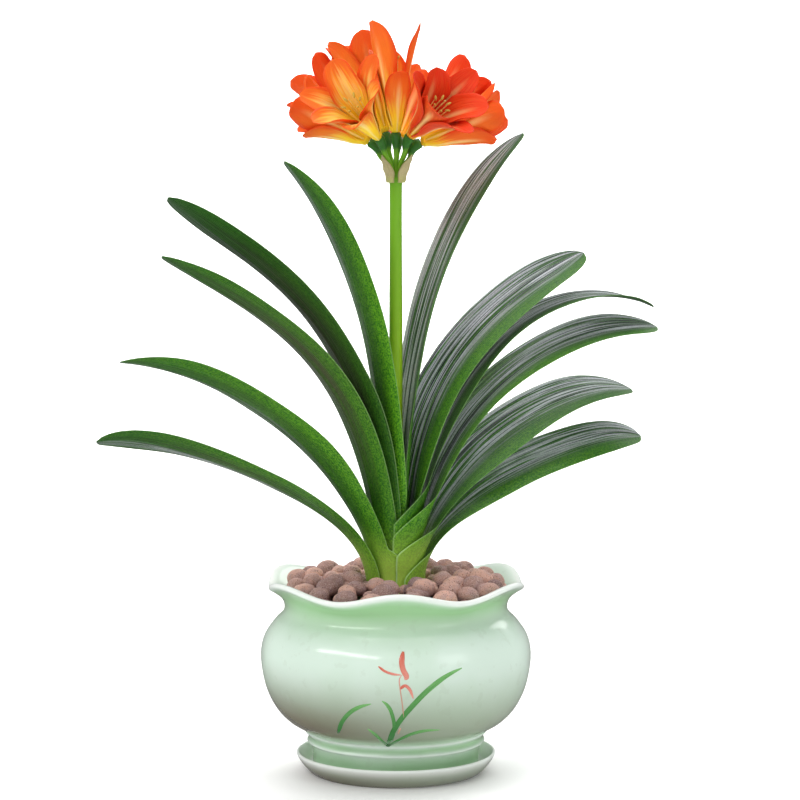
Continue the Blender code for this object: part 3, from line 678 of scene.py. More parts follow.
def make_mottle_group():
    """Three scales of soft blotches in the object's own space."""
    tree, given, result = new_group(
        "Mottle",
        [("Scale", FLOAT, 100.0)],
        [("Blotch", FLOAT), ("Grain", FLOAT), ("Pits", FLOAT)],
    )
    place = add_node(tree, "TexCoord").outputs["Object"]
    scale = given["Scale"]
    blotch = add_node(tree, "TexNoise", {"Vector": place, "Scale": scale, "Detail": 3.0})
    fine = times(tree, scale, 7.0)
    grain = add_node(tree, "TexNoise", {"Vector": place, "Scale": fine, "Detail": 4.0})
    cells = add_node(tree, "TexVoronoi", {"Vector": place, "Scale": times(tree, scale, 5.0)})
    tree.links.new(ranged(tree, blotch.outputs["Fac"], 0.35, 0.65), result["Blotch"])
    tree.links.new(ranged(tree, grain.outputs["Fac"], 0.32, 0.68), result["Grain"])
    tree.links.new(ranged(tree, cells.outputs["Distance"], 0.10, 0.34), result["Pits"])


def make_glaze_group():
    """Translucent glaze that deepens where it pools and breaks to white on a lip."""
    tree, given, result = new_group(
        "Pooled Glaze",
        [
            ("Body Colour", COLOUR, (1, 1, 1, 1)), ("Pool Colour", COLOUR, (1, 1, 1, 1)),
            ("Lip Colour", COLOUR, (1, 1, 1, 1)), ("Pool", FLOAT, 0.0), ("Lip", FLOAT, 0.0),
        ],
        [("Colour", COLOUR), ("Height", FLOAT)],
    )
    cloud = use_group(tree, "Mottle", {"Scale": 16.0})
    drift = times(tree, maths(tree, "SUBTRACT", cloud["Blotch"], 0.5), 0.16)
    depth = plus(tree, given["Pool"], drift, clamp=True)
    shade = mixed(tree, depth, given["Body Colour"], given["Pool Colour"])
    specks = ranged(tree, cloud["Grain"], 0.86, 1.0, 0.0, 0.10)
    shade = mixed(tree, specks, shade, (0.35, 0.42, 0.30))
    edge = times(tree, given["Lip"], ranged(tree, cloud["Blotch"], 0.0, 1.0, 0.85, 1.0))
    shade = mixed(tree, edge, shade, given["Lip Colour"])
    tree.links.new(shade, result["Colour"])
    tree.links.new(cloud["Blotch"], result["Height"])


def finish_surface(tree, shader, colour, height, strength, distance):
    """Give the shader its colour and a bump of the given height."""
    tree.links.new(colour, shader.inputs["Base Color"])
    made = add_node(tree, "Bump", {"Height": height, "Strength": strength, "Distance": distance})
    tree.links.new(made.outputs["Normal"], shader.inputs["Normal"])


def veins_along(tree, count, waver, across=None):
    """Parallel veins that follow the places which the mesh carries."""
    if across is None:
        across = painted(tree, "across")
    along = painted(tree, "along")
    values = {"Across": across, "Along": along, "Count": count, "Waver": waver}
    return use_group(tree, "Parallel Veins", values)


def away_from_middle(tree, low, high, to_low, to_high):
    """A value that changes from the middle line of a blade to its edges."""
    distance = maths(tree, "ABSOLUTE", painted(tree, "across"))
    return ranged(tree, distance, low, high, to_low, to_high)


def glaze_material(name, body, pool, lip, painted_shade, shade_heights):
    """Glossy glaze with a painted shade low on the outside that starts, is full and fades out at three
    heights, and painted shade towards its silhouette.
    """
    material, tree, shader = new_material(
        name, 0.20, Specular_IOR_Level=0.4, Coat_Weight=0.22, Coat_Roughness=0.08,
    )
    glaze = use_group(tree, "Pooled Glaze", {
        "Body Colour": (*body, 1.0), "Pool Colour": (*pool, 1.0), "Lip Colour": (*lip, 1.0),
        "Pool": painted(tree, "pool"), "Lip": painted(tree, "lip"),
    })
    place = add_node(tree, "TexCoord").outputs["Object"]
    apart = add_node(tree, "SeparateXYZ", {"Vector": place}).outputs
    # Painted shade: a warm grey darkening low on the outside of the ware, heavier towards -X, that stands for
    # the shade under the belly.
    start, full, end = shade_heights
    cast = ranged(tree, apart["Z"], full, end, 0.95, 0.0)
    cast = times(tree, cast, ranged(tree, apart["Z"], start, full))
    cast = times(tree, cast, painted(tree, "outside"))
    cast = times(tree, cast, ranged(tree, apart["X"], -0.09, 0.05, 1.15, 0.65))
    # Painted shade: the glaze darkens towards its silhouette, where the surface turns away from the view.
    facing = add_node(tree, "LayerWeight", {"Blend": 0.35}).outputs["Facing"]
    silhouette_shade = ranged(tree, facing, 0.45, 1.0, 0.0, 0.42)
    cast = maths(tree, "MAXIMUM", cast, silhouette_shade)
    cast = times(tree, cast, maths(tree, "SUBTRACT", 1.0, painted(tree, "lip")))
    shade = mixed(tree, cast, glaze["Colour"], painted_shade)
    finish_surface(tree, shader, shade, glaze["Height"], 0.10, 0.0008)
    return material


def leaf_material(settings):
    """Strap leaf: parallel veins under a painted grey sheen of reflected light with dark lines in it, brown
    and fresh green parts, a pale sheath.
    """
    material, tree, shader = new_material("leaf_green", 0.34, Specular_IOR_Level=0.22)
    shift = times(tree, painted(tree, "seed"), 7.0)
    veins = veins_along(tree, 13.0, 3.0, plus(tree, painted(tree, "across"), shift))
    mottle = use_group(tree, "Mottle", {"Scale": 120.0})
    deep = mixed(tree, veins["Fine"], settings.deep_green, settings.mid_green)
    fresh = mixed(tree, mottle["Grain"], settings.fresh_green, settings.bright_green)
    shade = mixed(tree, painted(tree, "fresh"), deep, fresh)
    brown = times(tree, painted(tree, "brown"), ranged(tree, veins["Streak"], 0.0, 1.0, 0.5, 1.0))
    shade = mixed(tree, brown, shade, settings.brown_tinge)
    # Painted reflection: light grey streaks, the sheen, laid over the blade where the lights would reflect
    # off it.
    fine_stripes = ranged(tree, veins["Fine"], 0.0, 0.8, 0.50, 1.0)
    stripes = times(tree, fine_stripes, ranged(tree, veins["Streak"], 0.15, 0.75, 0.04, 1.0))
    sheen = times(tree, painted(tree, "sheen"), stripes)
    speckle = ranged(tree, mottle["Grain"], 0.0, 1.0, 0.80, 1.0)
    shade = mixed(tree, times(tree, sheen, speckle), shade, settings.painted_sheen_grey)
    # Painted shade: dark lines laid only where the painted sheen lies, between its streaks.
    lines = times(tree, ranged(tree, veins["Dark"], 0.0, 0.8, 0.0, 0.92), painted(tree, "sheen"))
    shade = mixed(tree, lines, shade, settings.sheen_dark_lines)
    shade = mixed(tree, painted(tree, "pale"), shade, settings.sheath_green)
    margin = away_from_middle(tree, 0.955, 0.995, 0.0, 1.0)
    margin = times(tree, margin, ranged(tree, painted(tree, "pale"), 0.0, 0.8, 0.25, 0.90))
    shade = mixed(tree, margin, shade, settings.margin_green)
    tree.links.new(ranged(tree, veins["Fine"], 0.0, 1.0, 0.46, 0.28), shader.inputs["Roughness"])
    height = plus(tree, veins["Ridge"], times(tree, mottle["Grain"], 0.35))
    finish_surface(tree, shader, shade, height, 0.35, 0.0004)
    return material


def petal_material(settings):
    """Petal: yellow throat that breaks into orange, a pale midrib, redder rims and fine veins."""
    material, tree, shader = new_material(
        "petal_orange", 0.42, Specular_IOR_Level=0.10, Subsurface_Weight=0.12, Subsurface_Scale=0.002,
    )
    shader.inputs["Subsurface Radius"].default_value = (1.0, 0.35, 0.1)
    along = painted(tree, "along")
    red = painted(tree, "red")
    veins = veins_along(tree, 7.0, 2.0, plus(tree, painted(tree, "across"), times(tree, red, 9.0)))
    body = mixed(tree, red, settings.orange, settings.red)
    body = mixed(tree, ranged(tree, veins["Fine"], 0.0, 1.0, 0.0, 0.35), body, settings.coral)
    rim = away_from_middle(tree, 0.50, 1.0, 0.0, 0.70)
    tip = ranged(tree, along, 0.66, 1.0, 0.0, 0.50)
    body = mixed(tree, maths(tree, "MAXIMUM", rim, tip), body, settings.red)
    reach = plus(tree, along, ranged(tree, veins["Streak"], 0.0, 1.0, -0.09, 0.09))
    reach = plus(tree, reach, times(tree, red, 0.50))
    reach = plus(tree, reach, ranged(tree, painted(tree, "upper"), 0.0, 1.0, 0.22, 0.0))
    reach = plus(tree, reach, away_from_middle(tree, 0.0, 1.0, -0.06, 0.14))
    throat = ranged(tree, reach, 0.50, 0.96, 1.0, 0.0)
    pale = times(tree, veins["Fine"], ranged(tree, along, 0.25, 0.75, 0.0, 0.8))
    yellow = mixed(tree, pale, settings.yellow, settings.cream)
    body = mixed(tree, throat, body, yellow)
    midrib = away_from_middle(tree, 0.0, 0.26, 1.0, 0.0)
    fade = ranged(tree, along, 0.50, 0.92, 0.60, 0.0)
    body = mixed(tree, times(tree, midrib, fade), body, settings.cream)
    finish_surface(tree, shader, body, veins["Ridge"], 0.30, 0.0003)
    return material


def stone_material(settings):
    """Fired clay: brown to terracotta, with cool blotches, dusty grains and dark pores."""
    material, tree, shader = new_material("clay_pebbles", 0.88, Specular_IOR_Level=0.25)
    mottle = use_group(tree, "Mottle", {"Scale": 170.0})
    tone = painted(tree, "tone")
    shade = mixed(tree, tone, settings.brown, settings.terracotta)
    shade = mixed(tree, ranged(tree, mottle["Blotch"], 0.2, 1.0, 0.0, 0.45), shade, settings.mauve)
    shade = mixed(tree, ranged(tree, mottle["Grain"], 0.45, 1.0, 0.0, 0.40), shade, settings.pale)
    shade = mixed(tree, ranged(tree, mottle["Pits"], 0.0, 0.75, 0.95, 0.0), shade, settings.pit)
    height = plus(tree, mottle["Pits"], times(tree, mottle["Grain"], 0.6))
    finish_surface(tree, shader, shade, height, 0.8, 0.0006)
    return material


def stalk_material(settings):
    """Stalk: yellow green below, greener above, with dark ovaries."""
    material, tree, shader = new_material("stalk_green", 0.36, Specular_IOR_Level=0.4)
    veins = veins_along(tree, 9.0, 4.0)
    low = mixed(tree, veins["Fine"], settings.stalk_low, settings.stalk_pale)
    shade = mixed(tree, ranged(tree, painted(tree, "along"), 0.2, 1.0), low, settings.stalk_high)
    shade = mixed(tree, ranged(tree, veins["Streak"], 0.0, 1.0, 0.0, 0.25), shade, settings.stalk_high)
    shade = mixed(tree, painted(tree, "ovary"), shade, settings.ovary)
    finish_surface(tree, shader, shade, veins["Ridge"], 0.25, 0.0003)
    return material


def bract_material(settings):
    """Papery bract: tan, with darker veins and edges and a greener foot."""
    material, tree, shader = new_material("bract_tan", 0.62, Specular_IOR_Level=0.3)
    veins = veins_along(tree, 9.0, 2.0)
    mottle = use_group(tree, "Mottle", {"Scale": 220.0})
    shade = mixed(tree, veins["Fine"], settings.bract, settings.bract_dark)
    foot = ranged(tree, painted(tree, "along"), 0.0, 0.35, 0.6, 0.0)
    shade = mixed(tree, foot, shade, settings.bract_foot)
    shade = mixed(tree, ranged(tree, mottle["Blotch"], 0.4, 1.0, 0.0, 0.3), shade, settings.bract_dark)
    edge = away_from_middle(tree, 0.72, 1.0, 0.0, 0.6)
    shade = mixed(tree, edge, shade, settings.bract_dark)
    finish_surface(tree, shader, shade, veins["Ridge"], 0.5, 0.0005)
    return material


def stamen_material(settings):
    """Yellow threads with olive pollen sacs."""
    material, tree, shader = new_material("stamen_yellow", 0.6, Specular_IOR_Level=0.3)
    mottle = use_group(tree, "Mottle", {"Scale": 900.0})
    thread = mixed(tree, mottle["Blotch"], settings.thread, settings.cream)
    anther = mixed(tree, mottle["Grain"], settings.anther, settings.pollen)
    shade = mixed(tree, painted(tree, "anther"), thread, anther)
    finish_surface(tree, shader, shade, mottle["Grain"], 0.4, 0.0003)
    return material


def brush_material(name, dark, pale):
    """Brush stroke fired under the glaze, streaked along its length."""
    material, tree, shader = new_material(name, 0.12, Coat_Weight=0.5, Coat_Roughness=0.05)
    veins = veins_along(tree, 3.0, 5.0)
    share = times(tree, painted(tree, "along"), ranged(tree, veins["Fine"], 0.0, 1.0, 0.5, 1.0))
    shade = mixed(tree, share, dark, pale)
    finish_surface(tree, shader, shade, veins["Fine"], 0.15, 0.0002)
    return material


def earth_material(name, dark, pale, scale, roughness):
    """Dull crumbly skin, dark in its pits."""
    material, tree, shader = new_material(name, roughness, Specular_IOR_Level=0.2)
    mottle = use_group(tree, "Mottle", {"Scale": scale})
    shade = mixed(tree, mottle["Grain"], dark, pale)
    shade = mixed(tree, ranged(tree, mottle["Pits"], 0.0, 0.6, 0.6, 0.0), shade, dark)
    finish_surface(tree, shader, shade, mottle["Grain"], 0.9, 0.001)
    return material


def colour_property(name, description, value):
    """A colour that a user may change."""
    return FloatVectorProperty(
        name=name, description=description, subtype="COLOR", size=3, min=0.0, max=1.0, default=value,
    )


class WareSettings(bpy.types.PropertyGroup):
    """Colours and fineness of the pot and saucer."""

    glaze: colour_property("Glaze", "Celadon glaze where it lies thin", (0.66, 0.80, 0.70))
    pooled: colour_property("Pooled glaze", "Glaze where it gathers in grooves", (0.33, 0.58, 0.30))
    lip: colour_property("Lip", "Clay showing through on the lips", (0.86, 0.90, 0.86))
    # Painted shade: the warm grey laid low on the outside of the ware and towards its silhouette.
    painted_shade: colour_property("Smoke", "Warm grey cast low on the ware", (0.17, 0.155, 0.105))
    saucer_glaze: colour_property("Saucer glaze", "Paler glaze of the saucer", (0.76, 0.79, 0.75))
    leaf_paint: colour_property("Leaf paint", "Green of the painted leaves", (0.014, 0.150, 0.022))
    leaf_paint_pale: colour_property("Pale leaf paint", "Green at a stroke's end", (0.26, 0.60, 0.20))
    petal_paint: colour_property("Petal paint", "Coral of the painted petals", (0.62, 0.13, 0.08))
    petal_paint_pale: colour_property("Pale petal paint", "Coral at a stroke's end", (0.85, 0.40, 0.33))
    stem_paint: colour_property("Stem paint", "Brown of the thin painted lines", (0.45, 0.30, 0.22))
    segments: IntProperty(
        name="Segments", description="Steps round the pot and saucer", default=180, min=24, max=360,
    )


class StoneSettings(bpy.types.PropertyGroup):
    """Colours and fineness of the clay pebbles and the soil."""

    brown: colour_property("Brown", "Darker fired clay", (0.225, 0.140, 0.135))
    terracotta: colour_property("Terracotta", "Redder fired clay", (0.70, 0.415, 0.330))
    mauve: colour_property("Mauve", "Cool blotches", (0.36, 0.245, 0.255))
    pale: colour_property("Pale", "Dusty grains", (0.66, 0.50, 0.44))
    pit: colour_property("Pit", "Dark pores", (0.05, 0.028, 0.022))
    soil: colour_property("Soil", "Dark potting mix", (0.025, 0.016, 0.011))
    soil_pale: colour_property("Bark", "Bark crumbs in the mix", (0.12, 0.075, 0.045))
    detail: IntProperty(
        name="Detail", description="Subdivisions of a stone", default=4, min=2, max=5,
    )


class LeafSettings(bpy.types.PropertyGroup):
    """Colours and sizes of the strap leaves."""

    deep_green: colour_property("Deep green", "Shaded blade", (0.004, 0.024, 0.006))
    mid_green: colour_property("Mid green", "Blade between its veins", (0.018, 0.110, 0.012))
    fresh_green: colour_property("Fresh green", "Young blade", (0.026, 0.165, 0.006))
    bright_green: colour_property("Bright green", "Lit young blade", (0.170, 0.480, 0.022))
    brown_tinge: colour_property("Brown tinge", "Bronze cast of old blades", (0.085, 0.060, 0.042))
    # Painted reflection: the grey of the sheen streaks that stand for light reflected off the blades.
    painted_sheen_grey: colour_property("Sheen", "Grey bloom on the upper face", (0.66, 0.67, 0.74))
    sheath_green: colour_property("Sheath", "Yellow green at the base", (0.46, 0.66, 0.10))
    margin_green: colour_property("Margin", "Light edge of a blade", (0.46, 0.70, 0.30))
    # Painted shade: the dark lines between the streaks of the painted sheen.
    sheen_dark_lines: colour_property("Dark vein", "Dark lines between the sheen", (0.006, 0.012, 0.012))
    root_skin: colour_property("Root", "Dull skin of the rootstock", (0.20, 0.15, 0.09))
    thickness: FloatProperty(
        name="Thickness", description="Blade thickness at its middle, in millimetres", default=1.0,
        min=0.3, max=3.0,
    )
    stations: IntProperty(
        name="Stations", description="Steps along a blade", default=120, min=20, max=240,
    )
    across: IntProperty(
        name="Across", description="Steps across a blade", default=31, min=7, max=61,
    )


class FlowerSettings(bpy.types.PropertyGroup):
    """Colours and sizes of the stalk, bracts and flowers."""

    orange: colour_property("Orange", "Body of a petal", (0.93, 0.265, 0.025))
    red: colour_property("Red", "Tips and the redder flowers", (0.74, 0.040, 0.010))
    coral: colour_property("Coral", "Pinker veins", (0.88, 0.15, 0.030))
    yellow: colour_property("Yellow", "Throat", (1.00, 0.66, 0.030))
    cream: colour_property("Cream", "Midrib and pale throat", (0.98, 0.80, 0.33))
    thread: colour_property("Thread", "Filaments", (0.90, 0.66, 0.16))
    anther: colour_property("Anther", "Olive pollen sacs", (0.40, 0.34, 0.06))
    pollen: colour_property("Pollen", "Yellow pollen", (0.85, 0.66, 0.14))
    stalk_low: colour_property("Stalk below", "Yellow green near the leaves", (0.40, 0.64, 0.012))
    stalk_pale: colour_property("Stalk pale", "Light streaks", (0.52, 0.74, 0.040))
    stalk_high: colour_property("Stalk above", "Greener near the flowers", (0.17, 0.44, 0.016))
    ovary: colour_property("Ovary", "Dark green ovaries", (0.035, 0.165, 0.020))
    bract: colour_property("Bract", "Papery bract", (0.62, 0.56, 0.30))
    bract_dark: colour_property("Dark bract", "Its veins and stains", (0.42, 0.36, 0.17))
    bract_foot: colour_property("Bract foot", "Its greener foot", (0.55, 0.60, 0.18))
    thickness: FloatProperty(
        name="Thickness", description="Petal thickness at its middle, in millimetres", default=0.9,
        min=0.3, max=2.0,
    )
    stations: IntProperty(
        name="Stations", description="Steps along a petal", default=36, min=10, max=80,
    )
    across: IntProperty(
        name="Across", description="Steps across a petal", default=15, min=5, max=31,
    )


class StageSettings(bpy.types.PropertyGroup):
    """Floor, background and camera."""

    floor: colour_property("Floor", "Pale floor", (0.93, 0.93, 0.93))
    sky: FloatProperty(
        name="Surround light", description="Strength of the even white surround", default=0.44,
        min=0.0, max=4.0,
    )
    gloss: FloatProperty(
        name="Reflected light", description="Share of the surround seen in reflections", default=0.5,
        min=0.0, max=1.0,
    )
    far_glow: FloatProperty(
        name="Far glow", description="Own light of the floor far from the pot", default=0.5,
        min=0.0, max=2.0,
    )
    lens: FloatProperty(
        name="Lens", description="Focal length", default=125.5, min=20.0, max=300.0, unit="CAMERA",
    )


class CLIVIA_OT_build_saucer(bpy.types.Operator):
    """Turn the shallow glazed saucer with its white lip"""

    bl_idname = "clivia.build_saucer"
    bl_label = "Build Saucer"

    def execute(self, context):
        ware = context.scene.clivia_ware
        glaze = glaze_material(
            "saucer_glaze", ware.saucer_glaze, ware.pooled, ware.lip, ware.painted_shade, SAUCER_SHADE_HEIGHTS,
        )
        shape = Shape("pool", "lip", "outside")
        fine = smooth_line(SAUCER_RING, WARE_STEPS)
        fine[:, 1] = np.maximum(fine[:, 1], 0.0)
        count = ware.segments
        body = fine[1:-1]
        rings = spun(body[:, 0:1], body[:, 1:2], np.arange(count) * math.tau / count)
        points = np.vstack([rings, [(0, 0, fine[0][1])], [(0, 0, fine[-1][1])]])
        faces = band_faces(len(body), count)
        last = len(rings) - count
        for k in range(count):
            m = (k + 1) % count
            faces.append((len(rings), m, k))
            faces.append((len(rings) + 1, last + k, last + m))
        values = {}
        for name, column in (("pool", 2), ("lip", 3)):
            held = np.concatenate([np.repeat(body[:, column], count), fine[[0, -1], column]])
            values[name] = np.clip(held, 0, 1)
        past_lip = np.repeat(np.arange(len(body)) >= SAUCER_LIP_STEP * WARE_STEPS, count)
        values["outside"] = np.concatenate([past_lip, [0.0, 1.0]])
        shape.add(points, faces, **values)
        stand_for(shape.build("saucer_ware", glaze), "saucer")
        return {"FINISHED"}


class CLIVIA_OT_build_pot(bpy.types.Operator):
    """Turn the pot and wave its rim in six soft lobes"""

    bl_idname = "clivia.build_pot"
    bl_label = "Build Pot"

    def execute(self, context):
        ware = context.scene.clivia_ware
        glaze = glaze_material("pot_glaze", ware.glaze, ware.pooled, ware.lip, ware.painted_shade, POT_SHADE_HEIGHTS)
        count = ware.segments
        angles = np.arange(count) * math.tau / count
        radius, height, pool, lip = smooth_line(POT_RING, WARE_STEPS, closed=True).T
        wave = np.cos(RIM_WAVES * (angles - RIM_WAVE_PHASE))
        wave = wave * smooth_step(height, *RIM_WAVE_HEIGHTS)[:, None]
        out = np.maximum(radius, 0.0)[:, None] + RIM_WAVE_OUT * wave
        points = spun(out, height[:, None] + RIM_WAVE_UP * wave, angles)
        shape = Shape("pool", "lip", "outside")
        shape.add(
            points, band_faces(len(radius), count, closed=True), outside=1.0,
            pool=np.repeat(np.clip(pool, 0, 1), count), lip=np.repeat(np.clip(lip, 0, 1), count),
        )
        stand_for(shape.build("pot_ware", glaze), "pot")
        return {"FINISHED"}


def front_of_pot(tree, across, up):
    """Point on the pot's front face at a place across and up, in millimetres, and its normal."""
    start = Vector((across * MM, STROKE_RAY_START, up * MM))
    hit, normal = tree.ray_cast(start, Vector((0.0, 1.0, 0.0)))[:2]
    if hit is None:
        raise RuntimeError("a stroke of the sprig misses the pot")
    if normal.y > 0.0:
        normal = -normal
    return hit / MM, normal


def add_stroke(shape, tree, line, half_width, ends):
    """Lay a thin raised ribbon of paint along a line, thinner towards its two ends."""
    fine = smooth_line(line, STROKE_STEPS)
    shares = np.linspace(0.0, 1.0, len(fine))
    rows, row_normals = [], []
    for index, share in enumerate(shares):
        before, after = fine[max(index - 1, 0)], fine[min(index + 1, len(fine) - 1)]
        direction = np.array([after[0] - before[0], after[1] - before[1]])
        direction /= np.linalg.norm(direction)
        cross = np.array([-direction[1], direction[0]])
        swell = min(1.0, (share + ends[0]) * STROKE_GROWTH[0])
        swell *= min(1.0, (1.0 - share + ends[1]) * STROKE_GROWTH[1])
        width = half_width * math.sqrt(max(swell, STROKE_LEAST_SWELL))
        row, normals = [], []
        for place in np.linspace(-1.0, 1.0, STROKE_COLUMNS):
            side = place * width
            x, z = fine[index][0] + cross[0] * side, fine[index][1] + cross[1] * side
            point, normal = front_of_pot(tree, x, z)
            row.append(point)
            normals.append(normal)
        rows.append(row)
        row_normals.append(normals)
    middle, normals = np.array(rows), np.array(row_normals)
    across = np.linspace(-1.0, 1.0, STROKE_COLUMNS)
    thickness = STROKE_LIFT * 2.0 * (1.0 - STROKE_THINNING * across**2)
    shape.add_plate(middle, normals, thickness, across=across, along=shares[:, None])


class CLIVIA_OT_paint_sprig(bpy.types.Operator):
    """Paint the orchid sprig on the pot's front in raised brush strokes"""

    bl_idname = "clivia.paint_sprig"
    bl_label = "Paint Sprig"

    def execute(self, context):
        ware = context.scene.clivia_ware
        pot = bpy.data.objects["pot_ware"]
        bm = bmesh.new()
        bm.from_mesh(pot.data)
        tree = BVHTree.FromBMesh(bm)
        for name, paint, lines, ends, dark, pale in (
            ("leaves", "green", SPRIG_LEAVES.values(), (0.06, 0.0), ware.leaf_paint, ware.leaf_paint_pale),
            ("petals", "coral", SPRIG_PETALS.values(), (0.03, 0.03), ware.petal_paint, ware.petal_paint_pale),
            ("stem", "brown", (SPRIG_STEM, SPRIG_DOT), (0.1, 0.1), ware.stem_paint, ware.petal_paint_pale),
        ):
            strokes = Shape("across", "along")
            for line, half_width in lines:
                add_stroke(strokes, tree, line, half_width, ends)
            strokes.build("sprig_" + name, brush_material("sprig_" + paint, dark, pale))
        bm.free()
        return {"FINISHED"}


def draw_stones(chance, rings, radii, limit):
    """Draw the place, size, squash and turn of every stone, ring by ring."""
    stones = []
    round_shift, out_shift, up_shift, most_tip = STONE_SHIFTS
    for ring_radius, count, height in rings:
        start = chance.uniform(0.0, math.tau)
        for k in range(count):
            angle = start + math.tau * (k + chance.uniform(-round_shift, round_shift)) / count
            size = chance.uniform(*radii)
            out = ring_radius + chance.uniform(-out_shift, out_shift)
            out = min(out, limit - size * STONE_SQUASH[0][1])
            across, back = out * math.cos(angle), out * math.sin(angle)
            up = height + STONE_BACK_RISE * back + chance.uniform(-up_shift, up_shift)
            squash = tuple(chance.uniform(*share) for share in STONE_SQUASH)
            turn = chance.uniform(0, math.tau)
            tip = chance.uniform(-most_tip, most_tip)
            stones.append(((across, back, up), size, squash, turn, tip))
    return stones


def unit_ball(detail):
    """Points and faces of a ball of radius one."""
    bm = bmesh.new()
    bmesh.ops.create_icosphere(bm, subdivisions=detail, radius=1.0)
    ball = ([vert.co.copy() for vert in bm.verts], [[v.index for v in f.verts] for f in bm.faces])
    bm.free()
    return ball


def add_stone(shape, ball, place, size, squash, turn, tip, tone, shift):
    """One fired clay pebble, uneven and slightly pitted."""
    turning = Matrix.Rotation(turn, 3, "Z") @ Matrix.Rotation(tip, 3, "X")
    points = []
    for direction in ball[0]:
        offset = direction * STONE_NOISE + shift
        lumps = 1.0
        for depth, rate in (STONE_LARGE_LUMPS, STONE_SMALL_LUMPS):
            lumps += depth * noise.noise(offset * rate)
        pit_depth, pit_rate, pit_from = STONE_PITS
        pit = max(0.0, noise.noise(offset * pit_rate) - pit_from)
        reach = size * (lumps - pit_depth * pit)
        local = Vector(direction[i] * squash[i] * reach for i in range(3))
        points.append(turning @ local + Vector(place))
    shape.add(points, ball[1], tone=tone)


class CLIVIA_OT_lay_stones(bpy.types.Operator):
    """Heap the fired clay pebbles round the plant"""

    bl_idname = "clivia.lay_stones"
    bl_label = "Lay Stones"

    def execute(self, context):
        stones = context.scene.clivia_stones
        chance = random.Random(STONE_SEED)
        shape = Shape("tone")
        for rings, radii, detail in (
            (STONE_RINGS, STONE_RADII, stones.detail), (FILL_RINGS, FILL_RADII, stones.detail - 1),
        ):
            ball = unit_ball(detail)
            for place, size, squash, turn, tip in draw_stones(chance, rings, radii, STONE_LIMIT):
                shift = Vector([chance.uniform(0.0, STONE_NOISE_REACH) for axis in range(3)])
                add_stone(shape, ball, place, size, squash, turn, tip, chance.random(), shift)
        bed = shape.build("stone_heap", stone_material(stones))
        stand_for(bed, "clay_pebbles")
        return {"FINISHED"}


class CLIVIA_OT_dress_soil(bpy.types.Operator):
    """Give the potting mix and the rootstock their own surfaces"""

    bl_idname = "clivia.dress_soil"
    bl_label = "Dress Soil"

    def execute(self, context):
        stones = context.scene.clivia_stones
        leaves = context.scene.clivia_leaves
        soil = earth_material("potting_mix_bark", stones.soil, stones.soil_pale, 180.0, 0.95)
        root = earth_material("rootstock_skin", stones.soil_pale, leaves.root_skin, 90.0, 0.8)
        for name, material in (("potting_mix", soil), ("rootstock", root)):
            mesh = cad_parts[name].data
            mesh.materials.clear()
            mesh.materials.append(material)
        return {"FINISHED"}


